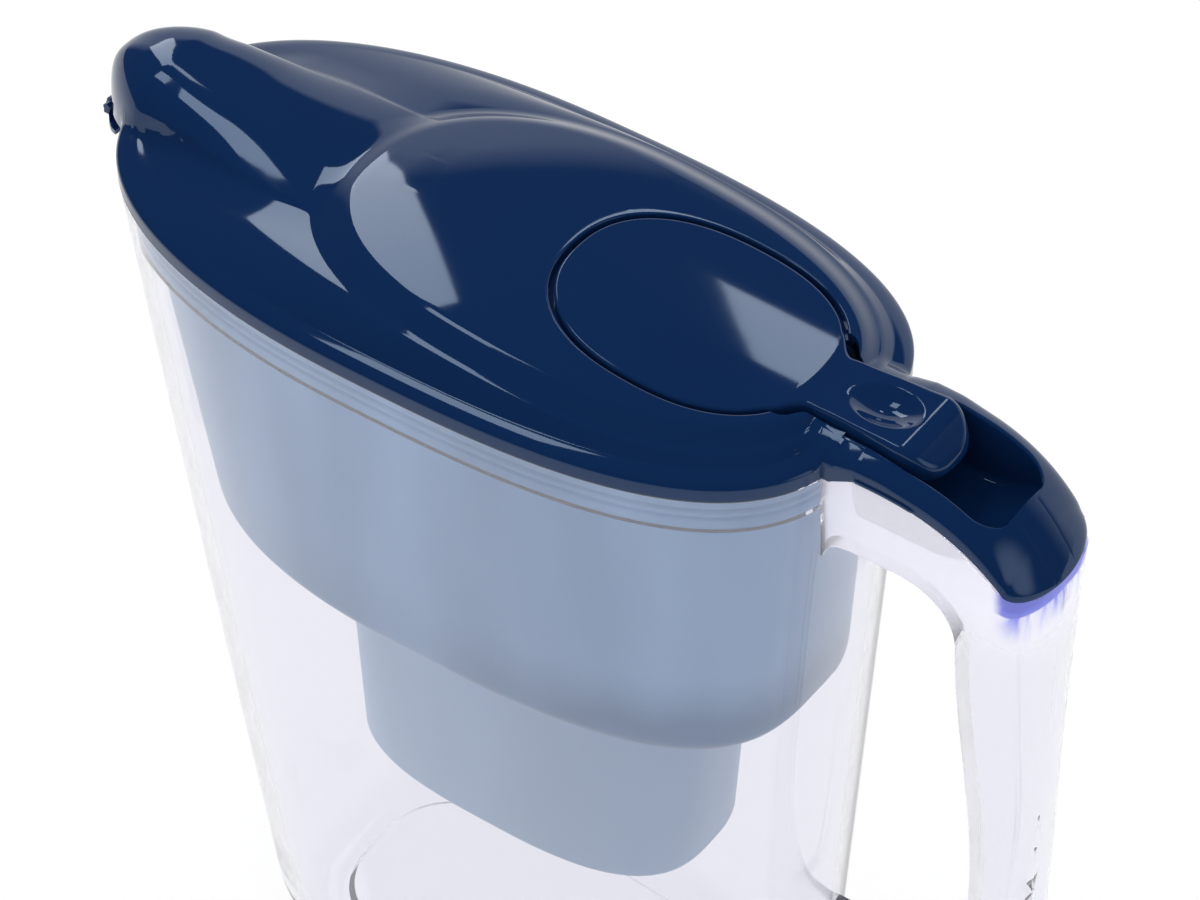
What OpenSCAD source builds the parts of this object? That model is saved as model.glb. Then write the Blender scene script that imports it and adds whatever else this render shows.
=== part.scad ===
// Water filter pitcher with a flip lid: a clear jug with a channel handle, a hopper that hangs in it,
// an oval filter cartridge in the hopper's cup, and a moulded lid with a rocking fill flap and a spout flap.
// Lengths in mm, angles in degrees. +X is the handle side, +Y is to the left of the pourer, +Z is up.

/* [Jug] */
// Height of the jug's rim above the table
jug_height = 236; // [210:1:260]
// Reach of the rim in front of the body's centre
rim_front = 101.7; // [96:0.1:106]
// Reach of the rim behind the body's centre
rim_rear = 108.5; // [104:0.1:112]
// Full width of the rim
rim_width = 107.8; // [104:0.1:112]
// Reach of the foot in front of the body's centre
foot_front = 58.3; // [52:0.1:66]
// Reach of the foot behind the body's centre
foot_rear = 97.4; // [92:0.1:101]
// Full width of the foot
foot_width = 90.8; // [86:0.1:96]
// Thickness of the jug's wall below the hopper's ledge
jug_wall = 3.2; // [2.9:0.1:3.6]
// Thickness of the jug's wall round the hopper's collar
rim_wall = 1.9; // [1.5:0.1:2.1]
// Thickness of the jug's floor
jug_floor = 3.2; // [2.4:0.1:5]
// Radius of the corner between the wall and the foot
foot_radius = 14; // [10:0.5:18]
// Height of the hollow under the jug
foot_recess = 2.4; // [1:0.1:4]
// Reach of the pouring lip past the rim
lip_reach = 7; // [5:0.1:8]
// Half width of the pouring lip
lip_half = 17; // [14:0.5:17.5]

/* [Handle] */
// Reach of the handle's back behind the body's centre
handle_back = 161.8; // [161:0.1:163]
// Half width of the handle under the lid
handle_half_top = 17.4; // [17.2:0.1:17.8]
// Half width of the handle at its foot
handle_half_low = 12.4; // [11:0.1:14]
// Thickness of the web that faces the jug
handle_web = 3; // [2.5:0.1:4]
// Thickness of the handle's sides and back
handle_flange = 2.4; // [2:0.1:2.6]
// Height of the handle's lower root above the table
handle_low = 38; // [30:1:60]

/* [Hopper] */
// Depth of the hopper below the rim
hopper_depth = 97; // [85:1:105]
// Depth of the cartridge cup below the hopper's floor
cup_depth = 68; // [60:1:76]
// Thickness of the hopper's wall
hopper_wall = 1.8; // [1.5:0.1:2.2]
// Height of the collar that rests on the jug's ledge
collar_height = 10.7; // [9:0.1:13]
// Thickness of the collar
collar_wall = 2; // [1.6:0.1:2.4]
// Half length of the cup at the hopper's floor
cup_half_length = 56; // [52:0.5:58]
// Half width of the cup at the hopper's floor
cup_half_width = 30; // [27:0.5:31]
// Draft of the cup from top to bottom, at each end
cup_draft = 5; // [3:0.1:6]

/* [Lid] */
// Thickness of the lid's shell
lid_wall = 2; // [1.6:0.1:2.4]
// Depth of the skirt that plugs into the hopper
skirt_depth = 5; // [4:0.5:9]
// Rise of the raised island above the lid's field
island_rise = 3.4; // [2:0.1:4.5]
// Width of the soft ramp up to the island, at its front
island_ramp = 10.5; // [4:0.5:12]
// Reach of the hood's nose past the rim
hood_reach = 12.9; // [12.5:0.1:14]
// Height of the hood's ridge above the rim
hood_height = 18.8; // [16:0.1:22]
// Half width of the hood
hood_half = 18; // [17:0.1:20]
// Half length of the fill flap
flap_half_length = 34.2; // [32:0.1:34.4]
// Half width of the fill flap
flap_half_width = 26.8; // [24:0.1:28]
// Gap round the fill flap
flap_gap = 1.2; // [0.9:0.1:1.5]
// Thickness of the flap's plate
flap_plate = 2.2; // [1.8:0.1:2.6]
// Half width of the neck between the flap and the thumb lever
neck_half = 9.6; // [9:0.1:10]
// Half width of the thumb lever at its end
lever_half = 11.5; // [11:0.1:11.8]
// Radius of the rocker's stub axles
axle_radius = 1.8; // [1.4:0.1:2]
// Radial clearance of the axles in their bores
axle_clearance = 0.05; // [0.02:0.01:0.1]
// Reach of the tail's tip behind the body's centre
tail_reach = 161.7; // [161:0.1:162.4]
// Half length of the thumb dimple
dimple_length = 9.2; // [7:0.1:10]
// Depth of the thumb dimple
dimple_depth = 2.6; // [1:0.1:3]

/* [Spout flap] */
// Height of the spout flap below its hinge
spout_flap_drop = 7.5; // [6:0.1:9]
// Thickness of the spout flap
spout_flap_wall = 1.5; // [1.2:0.1:2]
// Radius of the spout flap's pin
spout_pin_radius = 1; // [0.8:0.1:1.2]

/* [Cartridge] */
// Thickness of the cartridge's wall
cartridge_wall = 1.6; // [1.2:0.1:2]
// Gap between the cartridge and the cup
cartridge_gap = 0.6; // [0.4:0.1:0.9]
// Thickness of the screens over and under the granules
screen_thickness = 1.2; // [0.8:0.1:2]
// Height of the cap above the cartridge's flange
cap_height = 9; // [6:0.5:12]
// Number of slots in the cap and in the grid
slot_count = 7; // [5:1:9]

/* [Hidden] */

// Clearances between pieces
seat_gap = 0.3;
side_gap = 0.4;

// The whole part is set so that its box is centred on the origin, from the spout flap to the handle's back
spout_tip = -(rim_front + hood_reach);
flap_proud = 1;
centre_x = (spout_tip - flap_proud + handle_back) / 2;

// Points round the big rings, and how much closer they lie at the spout
ring_points = 60;
cup_points = 44;
crowding = 0.4;

// An outline is [centre x, front reach, rear reach, half width, front exponent, rear exponent]
rim = [0, rim_front, rim_rear, rim_width / 2, 2.27, 2.8];
foot = [0, foot_front, foot_rear, foot_width / 2, 2.85, 2.85];

// ---- outlines and lofts ----
function sign_of(v) = v < 0 ? -1 : 1;
function curve(c, n) = sign_of(c) * pow(abs(c), 2 / n);
function mix(a, b, t) = a + (b - a) * t;
function clamp(v) = min(1, max(0, v));
function ease(v) = let (c = clamp(v)) c * c * (3 - 2 * c);
function angle_at(i, n, k) = let (u = 360 * i / n) u + k * sin(u) * 180 / PI;
function inset(o, d) = [o[0], o[1] - d, o[2] - d, o[3] - d, o[4], o[5]];
function oval(cx, a, b, n) = [cx, a, a, b, n, n];
function on_outline(o, t) =
    let (c = cos(t), s = sin(t), m = c < 0 ? o[4] : o[5])
    [o[0] + (c < 0 ? o[1] : o[2]) * curve(c, m), o[3] * curve(s, m)];
function level(o, z, n = ring_points, k = crowding) =
    [for (i = [0 : n - 1]) let (p = on_outline(o, angle_at(i, n, k))) [p[0], p[1], z]];
function flat(o, n = cup_points) = [for (i = [0 : n - 1]) on_outline(o, 360 * i / n)];
function middle(r) = let (n = len(r)) [for (a = [0 : 2]) [for (p = r) p[a]] * [for (p = r) 1] / n];

// A closed skin through a loop of rings, like a bent tube
module skin_loop(rings) {
    n = len(rings[0]);
    m = len(rings);
    polyhedron(
        points = [for (r = rings) each r],
        faces = [for (k = [0 : m - 1], i = [0 : n - 1])
            let (a = k * n + i, b = k * n + (i + 1) % n, c = ((k + 1) % m) * n + (i + 1) % n,
                 d = ((k + 1) % m) * n + i)
            each [[a, c, b], [a, d, c]]]);
}

// A closed skin through a row of rings, with a fan over the first and the last
module skin_capped(rings) {
    n = len(rings[0]);
    m = len(rings);
    polyhedron(
        points = concat([for (r = rings) each r], [middle(rings[0]), middle(rings[m - 1])]),
        faces = concat(
            [for (k = [0 : m - 2], i = [0 : n - 1])
                let (a = k * n + i, b = k * n + (i + 1) % n, c = (k + 1) * n + (i + 1) % n,
                     d = (k + 1) * n + i)
                each [[a, c, b], [a, d, c]]],
            [for (i = [0 : n - 1]) [m * n, i, (i + 1) % n]],
            [for (i = [0 : n - 1]) [m * n + 1, (m - 1) * n + (i + 1) % n, (m - 1) * n + i]]));
}

module placed() {
    translate([-centre_x, 0, 0]) children();
}

// A prism that stands on the XZ plane and reaches from -half to +half along Y
module across(half) {
    rotate([90, 0, 0]) translate([0, 0, -half]) linear_extrude(height = 2 * half) children();
}

function arc(cx, cz, rx, rz, from, to, steps) =
    [for (i = [0 : steps]) let (t = mix(from, to, i / steps)) [cx + rx * cos(t), cz + rz * sin(t)]];

// ---- jug ----
function wall_at(z) = mix(foot, rim, z / jug_height);
function corner_inset(z) = z >= foot_radius ? 0
    : foot_radius - sqrt(foot_radius * foot_radius - pow(foot_radius - z, 2));
lip_start = jug_height - 42;
lip_drop = 2.5;
ledge_z = jug_height - collar_height - seat_gap;
function lip_share(y) = abs(y) >= lip_half ? 0 : pow(cos(90 * y / lip_half), 2);
function lip_push(p) =
    let (s = lip_share(p[1]) * (p[0] < 0 ? 1 : 0), up = ease((p[2] - lip_start) / (jug_height - lip_start)))
    [p[0] - lip_reach * s * up, p[1], p[2] - (p[2] > jug_height - 0.01 ? lip_drop * s : 0)];
function jug_ring(z, d) = [for (p = level(inset(wall_at(z), d + corner_inset(z)), z)) lip_push(p)];
foot_ring_outer = foot_radius - 3;
foot_ring_inner = foot_ring_outer + 5;
function inner_corner(z) = let (r = foot_radius - jug_wall, h = z - jug_floor)
    h >= r ? 0 : r - sqrt(r * r - pow(r - h, 2));
function jug_inside(z) = [for (p = level(inset(wall_at(z), jug_wall + inner_corner(z)), z)) lip_push(p)];

function jug_outside() = concat(
    [level(inset(foot, foot_ring_outer), 0)],
    [for (z = [1.5, 4.5, 9, foot_radius, jug_height * 0.5, lip_start, lip_start + 14, lip_start + 27, jug_height])
        jug_ring(z, 0)]);

module jug_shell() {
    skin_capped(concat(
        [level(inset(foot, foot_ring_inner + 1.5), foot_recess), level(inset(foot, foot_ring_inner), 0)],
        jug_outside(),
        [jug_ring(jug_height, rim_wall), jug_ring(ledge_z, rim_wall),
         jug_ring(ledge_z, jug_wall)],
        [for (z = [lip_start + 14, lip_start, jug_height * 0.5, foot_radius]) jug_inside(z)],
        [for (z = [jug_floor + 4, jug_floor + 1]) jug_inside(z)],
        [level(inset(foot, foot_radius + 6), jug_floor)]));
}

// ---- handle: a hollow box, open only at its top, under the tail of the lid ----
// The top edge of its sides follows the tail's lower edge.
band_start = 115;
tail_edge_high = jug_height + 3.9;
function tail_edge(x) = x < band_start ? tail_edge_high - 3.4 * (1 - clamp((x - 108.5) / (band_start - 108.5)))
    : tail_edge_high - 16 * pow((x - band_start) / 41.6, 2.67);
tip_start = 154;
tip_share = 0.6;
tip_drop = 3.7;
// the round end of the tail dips a little further
function tip_edge(x) = x < tip_start ? tail_edge(x)
    : tail_edge(tip_start) - tip_drop * pow((x - tip_start) / (tail_reach - tip_start), tip_share);
function rear_at(z) = mix(foot_rear, rim_rear, z / jug_height);
arch_top = jug_height - 20;
arch_low = handle_low + 22;
arch_back_top = 142.5;
arch_back_low = 150.2;
arch_bend = jug_height - 118;
arch_r = 15;
root_r = 7;
low_r = 24;

function handle_outline() = concat(
    [[90, handle_low]],
    arc(handle_back + 1 - low_r, handle_low + low_r, low_r, low_r, -90, 0, 10),
    [for (i = [0 : 5]) let (x = mix(handle_back + 1, tip_start, i / 5)) [x, tip_edge(min(x, tail_reach)) - seat_gap]],
    [for (i = [1 : 9]) let (x = mix(tip_start, band_start, i / 9)) [x, tail_edge(x) - seat_gap]],
    [for (i = [1 : 6]) let (x = mix(band_start, 108.5, i / 6)) [x, tail_edge(x) - seat_gap - 0.1]],
    [[90, jug_height + 0.5 - seat_gap]]);

// the finger gap, with rounded roots on the jug's wall
function gap_inner() =
    let (zt = arch_top, zl = arch_low, xt = rear_at(zt), xl = rear_at(zl))
    concat(
        [[xl - 4, zl + root_r]],
        arc(xl + root_r, zl + root_r, root_r, root_r, 180, 270, 5),
        arc(arch_back_low - arch_r, zl + arch_r, arch_r, arch_r, -90, 0, 8),
        [[arch_back_low, arch_bend]],
        arc(arch_back_top - arch_r, zt - arch_r, arch_r, arch_r, 0, 90, 8),
        arc(xt + root_r, zt - root_r, root_r, root_r, 90, 180, 5),
        [[xt - 4, zt - root_r]]);

// the hollow, from the web outwards
function hollow_outline() =
    let (w = handle_web, r = low_r - w)
    concat(
        [[90, arch_low - w]],
        arc(arch_back_low - arch_r, arch_low + arch_r, arch_r + w, arch_r + w, -90, 0, 8),
        [[arch_back_low + w, arch_bend]],
        arc(arch_back_top - arch_r, arch_top - arch_r, arch_r + w, arch_r + w, 0, 90, 8),
        [[90, arch_top + w], [90, jug_height + 10], [handle_back + 10, jug_height + 10]],
        arc(handle_back + 1 - low_r, handle_low + low_r, r, r, 0, -90, 10),
        [[90, handle_low + w]]);

// A level section: flat sides that round into a convex back
function half_at(z) = mix(handle_half_low, handle_half_top, pow(clamp((z - jug_height + 110) / 102), 2.5));
function corner_at(z) = mix(157.5, 155.3, clamp((z - jug_height + 110) / 98));
function handle_ring(z, d) = let (h = half_at(z) - d, x = corner_at(z), b = handle_back - x - d)
    concat([[90, -h, z]], [for (i = [0 : 12]) let (t = mix(-90, 90, i / 12)) [x + b * cos(t), h * sin(t), z]], [[90, h, z]]);
module handle_loft(d) {
    skin_capped([for (h = [-240, -110, -85, -65, -48, -34, -22, -8, 8]) handle_ring(jug_height + h, d)]);
}

module jug_handle() {
    color([0.92, 0.93, 0.96, 0.4]) placed() difference() {
        intersection() {
            across(30) polygon(handle_outline());
            handle_loft(0);
        }
        across(31) polygon(gap_inner());
        intersection() {
            across(30) polygon(hollow_outline());
            handle_loft(handle_flange);
        }
        skin_capped(concat(jug_outside(), [jug_ring(jug_height + 20, 0)]));
    }
}

module jug_body() {
    color([0.92, 0.93, 0.96, 0.4]) placed() jug_shell();
}

// ---- hopper ----
collar_top = jug_height - 0.4;
collar_low = jug_height - collar_height;
floor_z = jug_height - hopper_depth;
cup_x = 17.3;
cup_low_z = floor_z - cup_depth;
hopper_top = [0, 94, 99.3, 47.4, 2.27, 2.8];
hopper_low = [0, 78.5, 95.3, 43.7, 2.2, 2.88];
hopper_corner = 7;
cup_top_line = oval(cup_x, cup_half_length, cup_half_width, 2.5);
cup_low_line = oval(cup_x, cup_half_length - cup_draft, cup_half_width - 0.36 * cup_draft, 2.88);
outlet = oval(cup_x, cup_half_length - cup_draft - 9, cup_half_width - cup_draft - 5, 2.5);
function hopper_at(z) = mix(hopper_low, hopper_top, (z - floor_z) / (collar_low - floor_z));
function cup_at(z) = mix(cup_low_line, cup_top_line, (z - cup_low_z) / cup_depth);
collar_outset = rim_wall + side_gap;
function collar_line(z, d) = level(inset(wall_at(z), collar_outset + d), z);

// The basket and the cup are one moulding, kept as two simple pieces that meet under the basket's floor.
module hopper() {
    w = hopper_wall;
    color([0.62, 0.70, 0.82]) placed() skin_loop([
        level(inset(cup_top_line, w), floor_z), level(inset(hopper_low, hopper_corner), floor_z),
        level(inset(hopper_low, hopper_corner * 0.3), floor_z + hopper_corner * 0.3),
        level(hopper_at(floor_z + hopper_corner), floor_z + hopper_corner),
        level(hopper_top, collar_low - 0.01), collar_line(collar_low, 0), collar_line(collar_top, 0),
        collar_line(collar_top, collar_wall), collar_line(collar_low + 2.4, collar_wall),
        level(inset(hopper_top, w), collar_low + 1.2),
        level(inset(hopper_at(floor_z + hopper_corner + w), w), floor_z + hopper_corner + w),
        level(inset(hopper_low, hopper_corner * 0.3 + w), floor_z + hopper_corner * 0.3 + w * 0.8),
        level(inset(hopper_low, hopper_corner + w), floor_z + w), level(inset(cup_top_line, w), floor_z + w)]);
}

module filter_cup() {
    w = hopper_wall;
    color([0.62, 0.70, 0.82]) placed() union() {
        skin_loop([
            level(outlet, cup_low_z), level(inset(cup_low_line, 5), cup_low_z),
            level(inset(cup_low_line, 1.4), cup_low_z + 1.4), level(cup_at(cup_low_z + 5), cup_low_z + 5),
            level(cup_at(floor_z - 11), floor_z - 11), level(inset(cup_at(floor_z - 11), -2), floor_z - 10.5),
            level(inset(cup_at(floor_z - 6.5), -2), floor_z - 6.5), level(cup_at(floor_z - 6), floor_z - 6),
            level(cup_top_line, floor_z), level(inset(cup_top_line, w), floor_z),
            level(inset(cup_at(cup_low_z + 5), w), cup_low_z + 5),
            level(inset(cup_low_line, 1.4 + w), cup_low_z + 1.4 + w),
            level(inset(cup_low_line, 5.4), cup_low_z + w), level(outlet, cup_low_z + w)]);
        for (x = [-15, 0, 15])
            translate([cup_x + x - 1.1, -cup_half_width + 6, cup_low_z]) cube([2.2, 2 * (cup_half_width - 6), w]);
    }
}

// ---- lid ----
island = oval(30.4, 72.6, 45, 2.3);
flap_x = 60.5;
opening = oval(flap_x, flap_half_length + flap_gap, flap_half_width + flap_gap, 2.33);
function crown(x, y) =
    (x > 30 ? 14.2 - 0.075 * (x - flap_x) : 16.5 + 0.075 * (30 - x) - 0.001745 * pow(30 - x, 2)) - 3.2 * pow(y / 45, 2);
function draped(o, d, n = ring_points) = [for (p = level(o, 0, n)) [p[0], p[1], jug_height + crown(p[0], p[1]) - d]];
// outlines of the ramp, from the island's foot at 0 to its top at 1
function ramp(t) = island - island_ramp * t * [0, 1, 0.36, 0.8, 0, 0];
lid_edge = jug_height + seat_gap;
skirt_outset = collar_outset + collar_wall + 1.6;
skirt_low = lid_edge - skirt_depth;
skirt_wall = 1.9;
module lid_plate() {
    w = lid_wall;
    skin_loop([
        level(rim, lid_edge), level(rim, lid_edge + 3), level(inset(rim, 0.7), lid_edge + 4.9),
        level(inset(rim, 2.1), lid_edge + 6.4), level(inset(rim, 4.6), lid_edge + 7.3),
        draped(ramp(0), island_rise), draped(ramp(0.27), island_rise * 0.82), draped(ramp(0.5), island_rise * 0.5),
        draped(ramp(0.73), island_rise * 0.18), draped(ramp(1), 0), draped(mix(opening, ramp(1), 0.5), 0), draped(opening, 0), draped(opening, flap_plate + seat_gap),
        draped(inset(opening, 2.4), flap_plate + seat_gap), draped(inset(opening, 2.4), flap_plate + seat_gap + 1.5),
        draped(inset(opening, -0.4), flap_plate + seat_gap + 1.5), draped(inset(opening, -1.4), w),
        draped(inset(ramp(1), 0.5), w), draped(inset(island, 1.9), island_rise + w * 0.9),
        level(inset(rim, 4.6 + 2.2), lid_edge + 7.3 - w), level(inset(rim, skirt_outset + skirt_wall), lid_edge + 4),
        level(inset(rim, skirt_outset + skirt_wall), lid_edge), level(inset(rim, skirt_outset), lid_edge)]);
}

// A section across the lid at x: flat underneath, domed on top
function dome(x, half, low, high, n, steps = 16) =
    [for (i = [0 : steps]) let (t = 180 * i / steps)
        [x, half * curve(cos(t), n), low + (high - low) * curve(sin(t), n)]];

// hood over the spout
hood_x = -92.6;
hood_tip = spout_tip;
nose = hood_x - hood_tip;
function hood_share(x) = x > hood_x ? 0 : min(1, (hood_x - x) / nose);
function hood_base(x) = jug_height + (x < hood_x ? mix(3, -3.5, ease((hood_x - x) / 21))
    : mix(3, 7.2, ease((x - hood_x) / 10)) + 0.045 * max(0, x + 82));
function hood_width(x) = x > hood_x ? mix(hood_half, hood_half + 3.5, ease((x - hood_x) / 45))
    : hood_half * pow(1 - pow(hood_share(x), 1.42), 1 / 1.42);
function hood_top(x) = x > hood_x ? jug_height + hood_height - 0.1 * (x - hood_x)
    : mix(hood_base(x), jug_height + hood_height, pow(1 - pow(hood_share(x), 2.2), 1 / 2.2));
// behind the nose the sides run out into the lid like the flanks of a bell
function hood_flank(x) = mix(hood_half + 0.5, hood_half + 13, ease((x + 97) / 27));
function bell(u) = u >= 1 ? 0 : (1 + cos(180 * pow(u, 1.15))) / 2;
function hood_section(x, steps = 16) = let (w = hood_width(x), f = max(w, hood_flank(x)), b = hood_base(x), r = hood_top(x) - b,
        k = ease((x + 100) / 20))
    [for (i = [0 : steps]) let (y = f * cos(180 * i / steps), e = abs(y) < w ? sqrt(1 - y * y / (w * w)) : 0)
        [x, y, b - (i == 0 || i == steps ? 0.8 : 0) + r * mix(e, bell(abs(y) / f), k)]];
hood_steps = [0.9985, 0.985, 0.95, 0.88, 0.78, 0.65, 0.48, 0.28];
module hood_body() {
    skin_capped(concat(
        [for (s = hood_steps) let (x = hood_x - nose * s) dome(x, hood_width(x), hood_base(x), hood_top(x), 2)],
        [for (x = [-93.78, -89.74, -84.7, -78.67, -71.63, -62.9, -52.7, -43.9, -36.1]) hood_section(x)]));
}
module hood_space(from, to, d) {
    n = 7;
    skin_capped([for (i = [0 : n]) let (x = mix(from, to, i / n))
        dome(x, max(0.8, hood_width(x - d * 0.6) - d), jug_height - 8, max(jug_height - 2, hood_top(x - d * 0.5) - d), 2)]);
}

// tail over the handle, with the thumb well
tub_half = handle_half_top - handle_flange - 1;
function tail_top(x) = jug_height + 11 - 24.3 * pow(max(0, x - 112) / (tail_reach - 112), 3.5);
function tail_low(x) = x < 109 ? lid_edge + 0.15 : tip_edge(x);
function tail_width(x) = x < tip_start ? mix(handle_half_top + 0.5, 16.8, pow(clamp((x - 98) / (tip_start - 98)), 2))
    : 16.8 * sqrt(1 - pow((x - tip_start) / (tail_reach - tip_start), 2));
// height of the upright band along the tail's lower edge, under the rounded top
function tail_band(x) = max(0.3, (3.9 - 1.8 * ease((x - 113) / 17)) * sqrt(1 - pow(clamp((x - 136) / 19), 3)));
function tail_section(x) = let (w = tail_width(x), e = tail_low(x), b = min(tail_band(x), 0.4 * (tail_top(x) - e)))
    concat([[x, w, e]], [for (i = [0 : 14]) let (t = 180 * i / 14) [x, w * cos(t), e + b + (tail_top(x) - e - b) * sin(t)]],
        [[x, -w, e]]);
module tail_body() {
    skin_capped([for (x = [98.3, 108.8, 109.2, 111, 113, 115, 120, 126, 131, 136, 140.5, 144.5, 148, 151, tip_start,
        tip_start + 1.8, tip_start + 3.8, tip_start + 5.6, tail_reach - 0.9, tail_reach - 0.2]) tail_section(x)]);
    // rails that the handle's sides slide under
    for (s = [-1, 1]) translate([0, s * (handle_half_top + 0.3), 0])
        across(0.7) polygon(concat([[band_start, jug_height + 4.7]],
            [for (i = [0 : 5]) let (x = mix(band_start + 0.4, 131.6, i / 5)) [x, tail_edge(x) + 0.1]],
            [[131.6, jug_height + 3.8], [band_start + 3, jug_height + 5.3]]));
}
pivot_x = 99;
pivot_z = jug_height + 6.6;
rocker_angle = 18;
deck_z = jug_height + 2.3;
well_floor = jug_height - 8.3;
well_rear = 149.8;
slot_waist = neck_half + 0.9;
slot_wide = lever_half + 0.8;
function well_inner() = concat(
    [[97, deck_z], [111.4, deck_z], [113, well_floor + 1.5], [114.5, well_floor]],
    arc(132, well_floor + 12, 17.4, 12, -90, -12, 7),
    [[well_rear, jug_height + 12], [well_rear, jug_height + 30], [84, jug_height + 30], [84, jug_height - 3], [97, jug_height - 3]]);
function well_plan() = let (h = [[82, slot_waist + 3.4], [92.6, slot_waist + 3.4], [94.4, slot_waist + 1.6],
        [97, slot_waist], [103, slot_waist], [114, slot_waist + 0.7], [125, slot_wide], [146.6, slot_wide],
        [148.9, slot_wide - 1], [152, slot_wide - 4.2]])
    concat(h, [for (i = [len(h) - 1 : -1 : 0]) [h[i][0], -h[i][1]]]);
function tub_outer() = concat(
    [[97.3, lid_edge + 0.35], [109.7, lid_edge + 0.35], [109.7, well_floor], [111.5, well_floor - 2], [132, well_floor - 2]],
    arc(132, well_floor + 12, 19.5, 14, -80, -32, 5), [[144, jug_height + 1], [97.3, jug_height + 7.7]]);
function tail_under() = concat(
    [[109, jug_height - 30], [109, well_floor - 2.5], [132.5, well_floor - 2.5]],
    arc(132.5, well_floor + 12, 19.5, 14.5, -80, -20, 5),
    [[152.3, jug_height - 3], [155.3, jug_height - 8], [157, jug_height - 10.7], [157, jug_height - 30]]);

module axle_bore() {
    translate([pivot_x, 0, pivot_z]) rotate([90, 0, 0])
        cylinder(r = axle_radius + axle_clearance, h = 2 * (slot_waist + 2.6), center = true, $fn = 48);
}

// knuckles for the spout flap
flap_front = 3;
spout_axis_x = hood_tip - flap_proud + flap_front;
spout_axis_z = jug_height - 4.2;
knuckle_r = 2.7;
flap_knuckle = 4.6;
// The lid is one moulding, kept as three simple pieces: the shell, the skirt under its edge, and the tail behind the rim.
tail_split = 108.65;
module behind_the_rim() {
    translate([tail_split, -50, jug_height - 40]) cube([80, 100, 80]);
}
module lid_shell() {
    color([0.09, 0.16, 0.33]) placed() difference() {
        lid_moulding();
        behind_the_rim();
    }
}
module lid_skirt() {
    color([0.09, 0.16, 0.33]) placed() skin_loop([
        level(inset(rim, skirt_outset + skirt_wall), lid_edge),
        level(inset(wall_at(skirt_low), skirt_outset + skirt_wall), skirt_low),
        level(inset(wall_at(skirt_low), skirt_outset), skirt_low),
        level(inset(rim, skirt_outset), lid_edge)]);
}
module lid_tail() {
    color([0.09, 0.16, 0.33]) placed() intersection() {
        lid_moulding();
        behind_the_rim();
    }
}
module lid_moulding() {
    difference() {
        union() {
            lid_plate();
            hood_body();
            tail_body();
            across(tub_half) polygon(tub_outer());
            for (s = [-1, 1]) translate([0, s * (slot_waist + 1.55), 0])
                across(1.9) polygon([[94.8, pivot_z - 2], [96.6, pivot_z - 4], [103, pivot_z - 4],
                    [103, pivot_z + 2.9], [94.8, pivot_z + 2.9]]);
            for (s = [-1, 1]) translate([0, s * (flap_knuckle + 1.25), 0])
                across(1) hull() {
                    translate([spout_axis_x, spout_axis_z]) circle(r = knuckle_r, $fn = 24);
                    translate([spout_axis_x + 2.2, jug_height - 1]) square([5, 4]);
                }
        }
        hood_space(hood_tip + 2.13, -99.2, 2);
        hood_space(-93.4, -46, 2);
        across(tub_half - 1.6) polygon(tail_under());
        intersection() {
            across(20) polygon(well_inner());
            linear_extrude(height = 400) polygon(well_plan());
        }
        axle_bore();
        translate([spout_axis_x, 0, spout_axis_z]) rotate([90, 0, 0]) {
            cylinder(r = 2.46, h = 2 * (flap_knuckle + 0.2), center = true, $fn = 32);
            cylinder(r = spout_pin_radius + axle_clearance, h = 2 * (flap_knuckle + 2.6), center = true, $fn = 36);
        }
    }
}

// ---- fill flap: a plate, a neck with stub axles, and a thumb lever ----
function lever_outline() = [
    [90, jug_height + crown(90, 0) - flap_plate], [94, jug_height + crown(94, 0) - 5], [96.2, pivot_z - 2.6],
    [98, pivot_z - 3.2], [100.5, pivot_z - 3.2], [102.6, pivot_z - 2], [105, jug_height + 8], [112, jug_height + 8],
    [122, jug_height + 6], [129.5, jug_height + 4.3], [131, jug_height + 5], [131.3, jug_height + 6.4],
    [128.6, jug_height + 10.2], [125.6, jug_height + 12.4], [124.6, jug_height + 12.7], [118, jug_height + 12.4],
    [112, jug_height + 12.5], [104, jug_height + 12.3], [98, jug_height + 12.1], [90, jug_height + crown(90, 0)]];
function lever_plan() = let (h = [[86, neck_half + 2.6], [91.6, neck_half + 2.2], [94, neck_half + 0.8], [97, neck_half],
        [104, neck_half], [114, neck_half + 0.7], [125, lever_half], [127.6, lever_half - 0.9], [130.2, lever_half - 3.6],
        [132, lever_half - 6.5]])
    concat(h, [for (i = [len(h) - 1 : -1 : 0]) [h[i][0], -h[i][1]]]);
dimple = oval(112.2, dimple_length, 0.72 * dimple_length, 2.1);
module fill_flap() {
    plate = oval(flap_x, flap_half_length, flap_half_width, 2.33);
    color([0.09, 0.17, 0.35]) placed() difference() {
        union() {
            skin_capped([draped(inset(plate, 0.4), flap_plate), draped(plate, flap_plate - 0.5), draped(plate, 0.5),
                draped(inset(plate, 0.5), 0)]);
            intersection() {
                across(20) polygon(lever_outline());
                linear_extrude(height = 400) polygon(lever_plan());
            }
            translate([pivot_x, 0, pivot_z]) rotate([90, 0, 0])
                cylinder(r = axle_radius, h = 2 * (slot_waist + 2.2), center = true, $fn = 48);
        }
        skin_capped([for (k = [[3.9, 0.25], [2, 0.06], [0.8, 0.5], [-0.5, 1.15]])
            cup_level(inset(dimple, k[0]), jug_height + 12.45 - dimple_depth * (1 - k[1]))]);
        across(neck_half - 2) polygon([[105.6, jug_height], [105.6, jug_height + 8.2], [118, jug_height + 8.2],
            [122, jug_height + 9], [126, jug_height + 8], [127, jug_height]]);
    }
}

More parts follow.
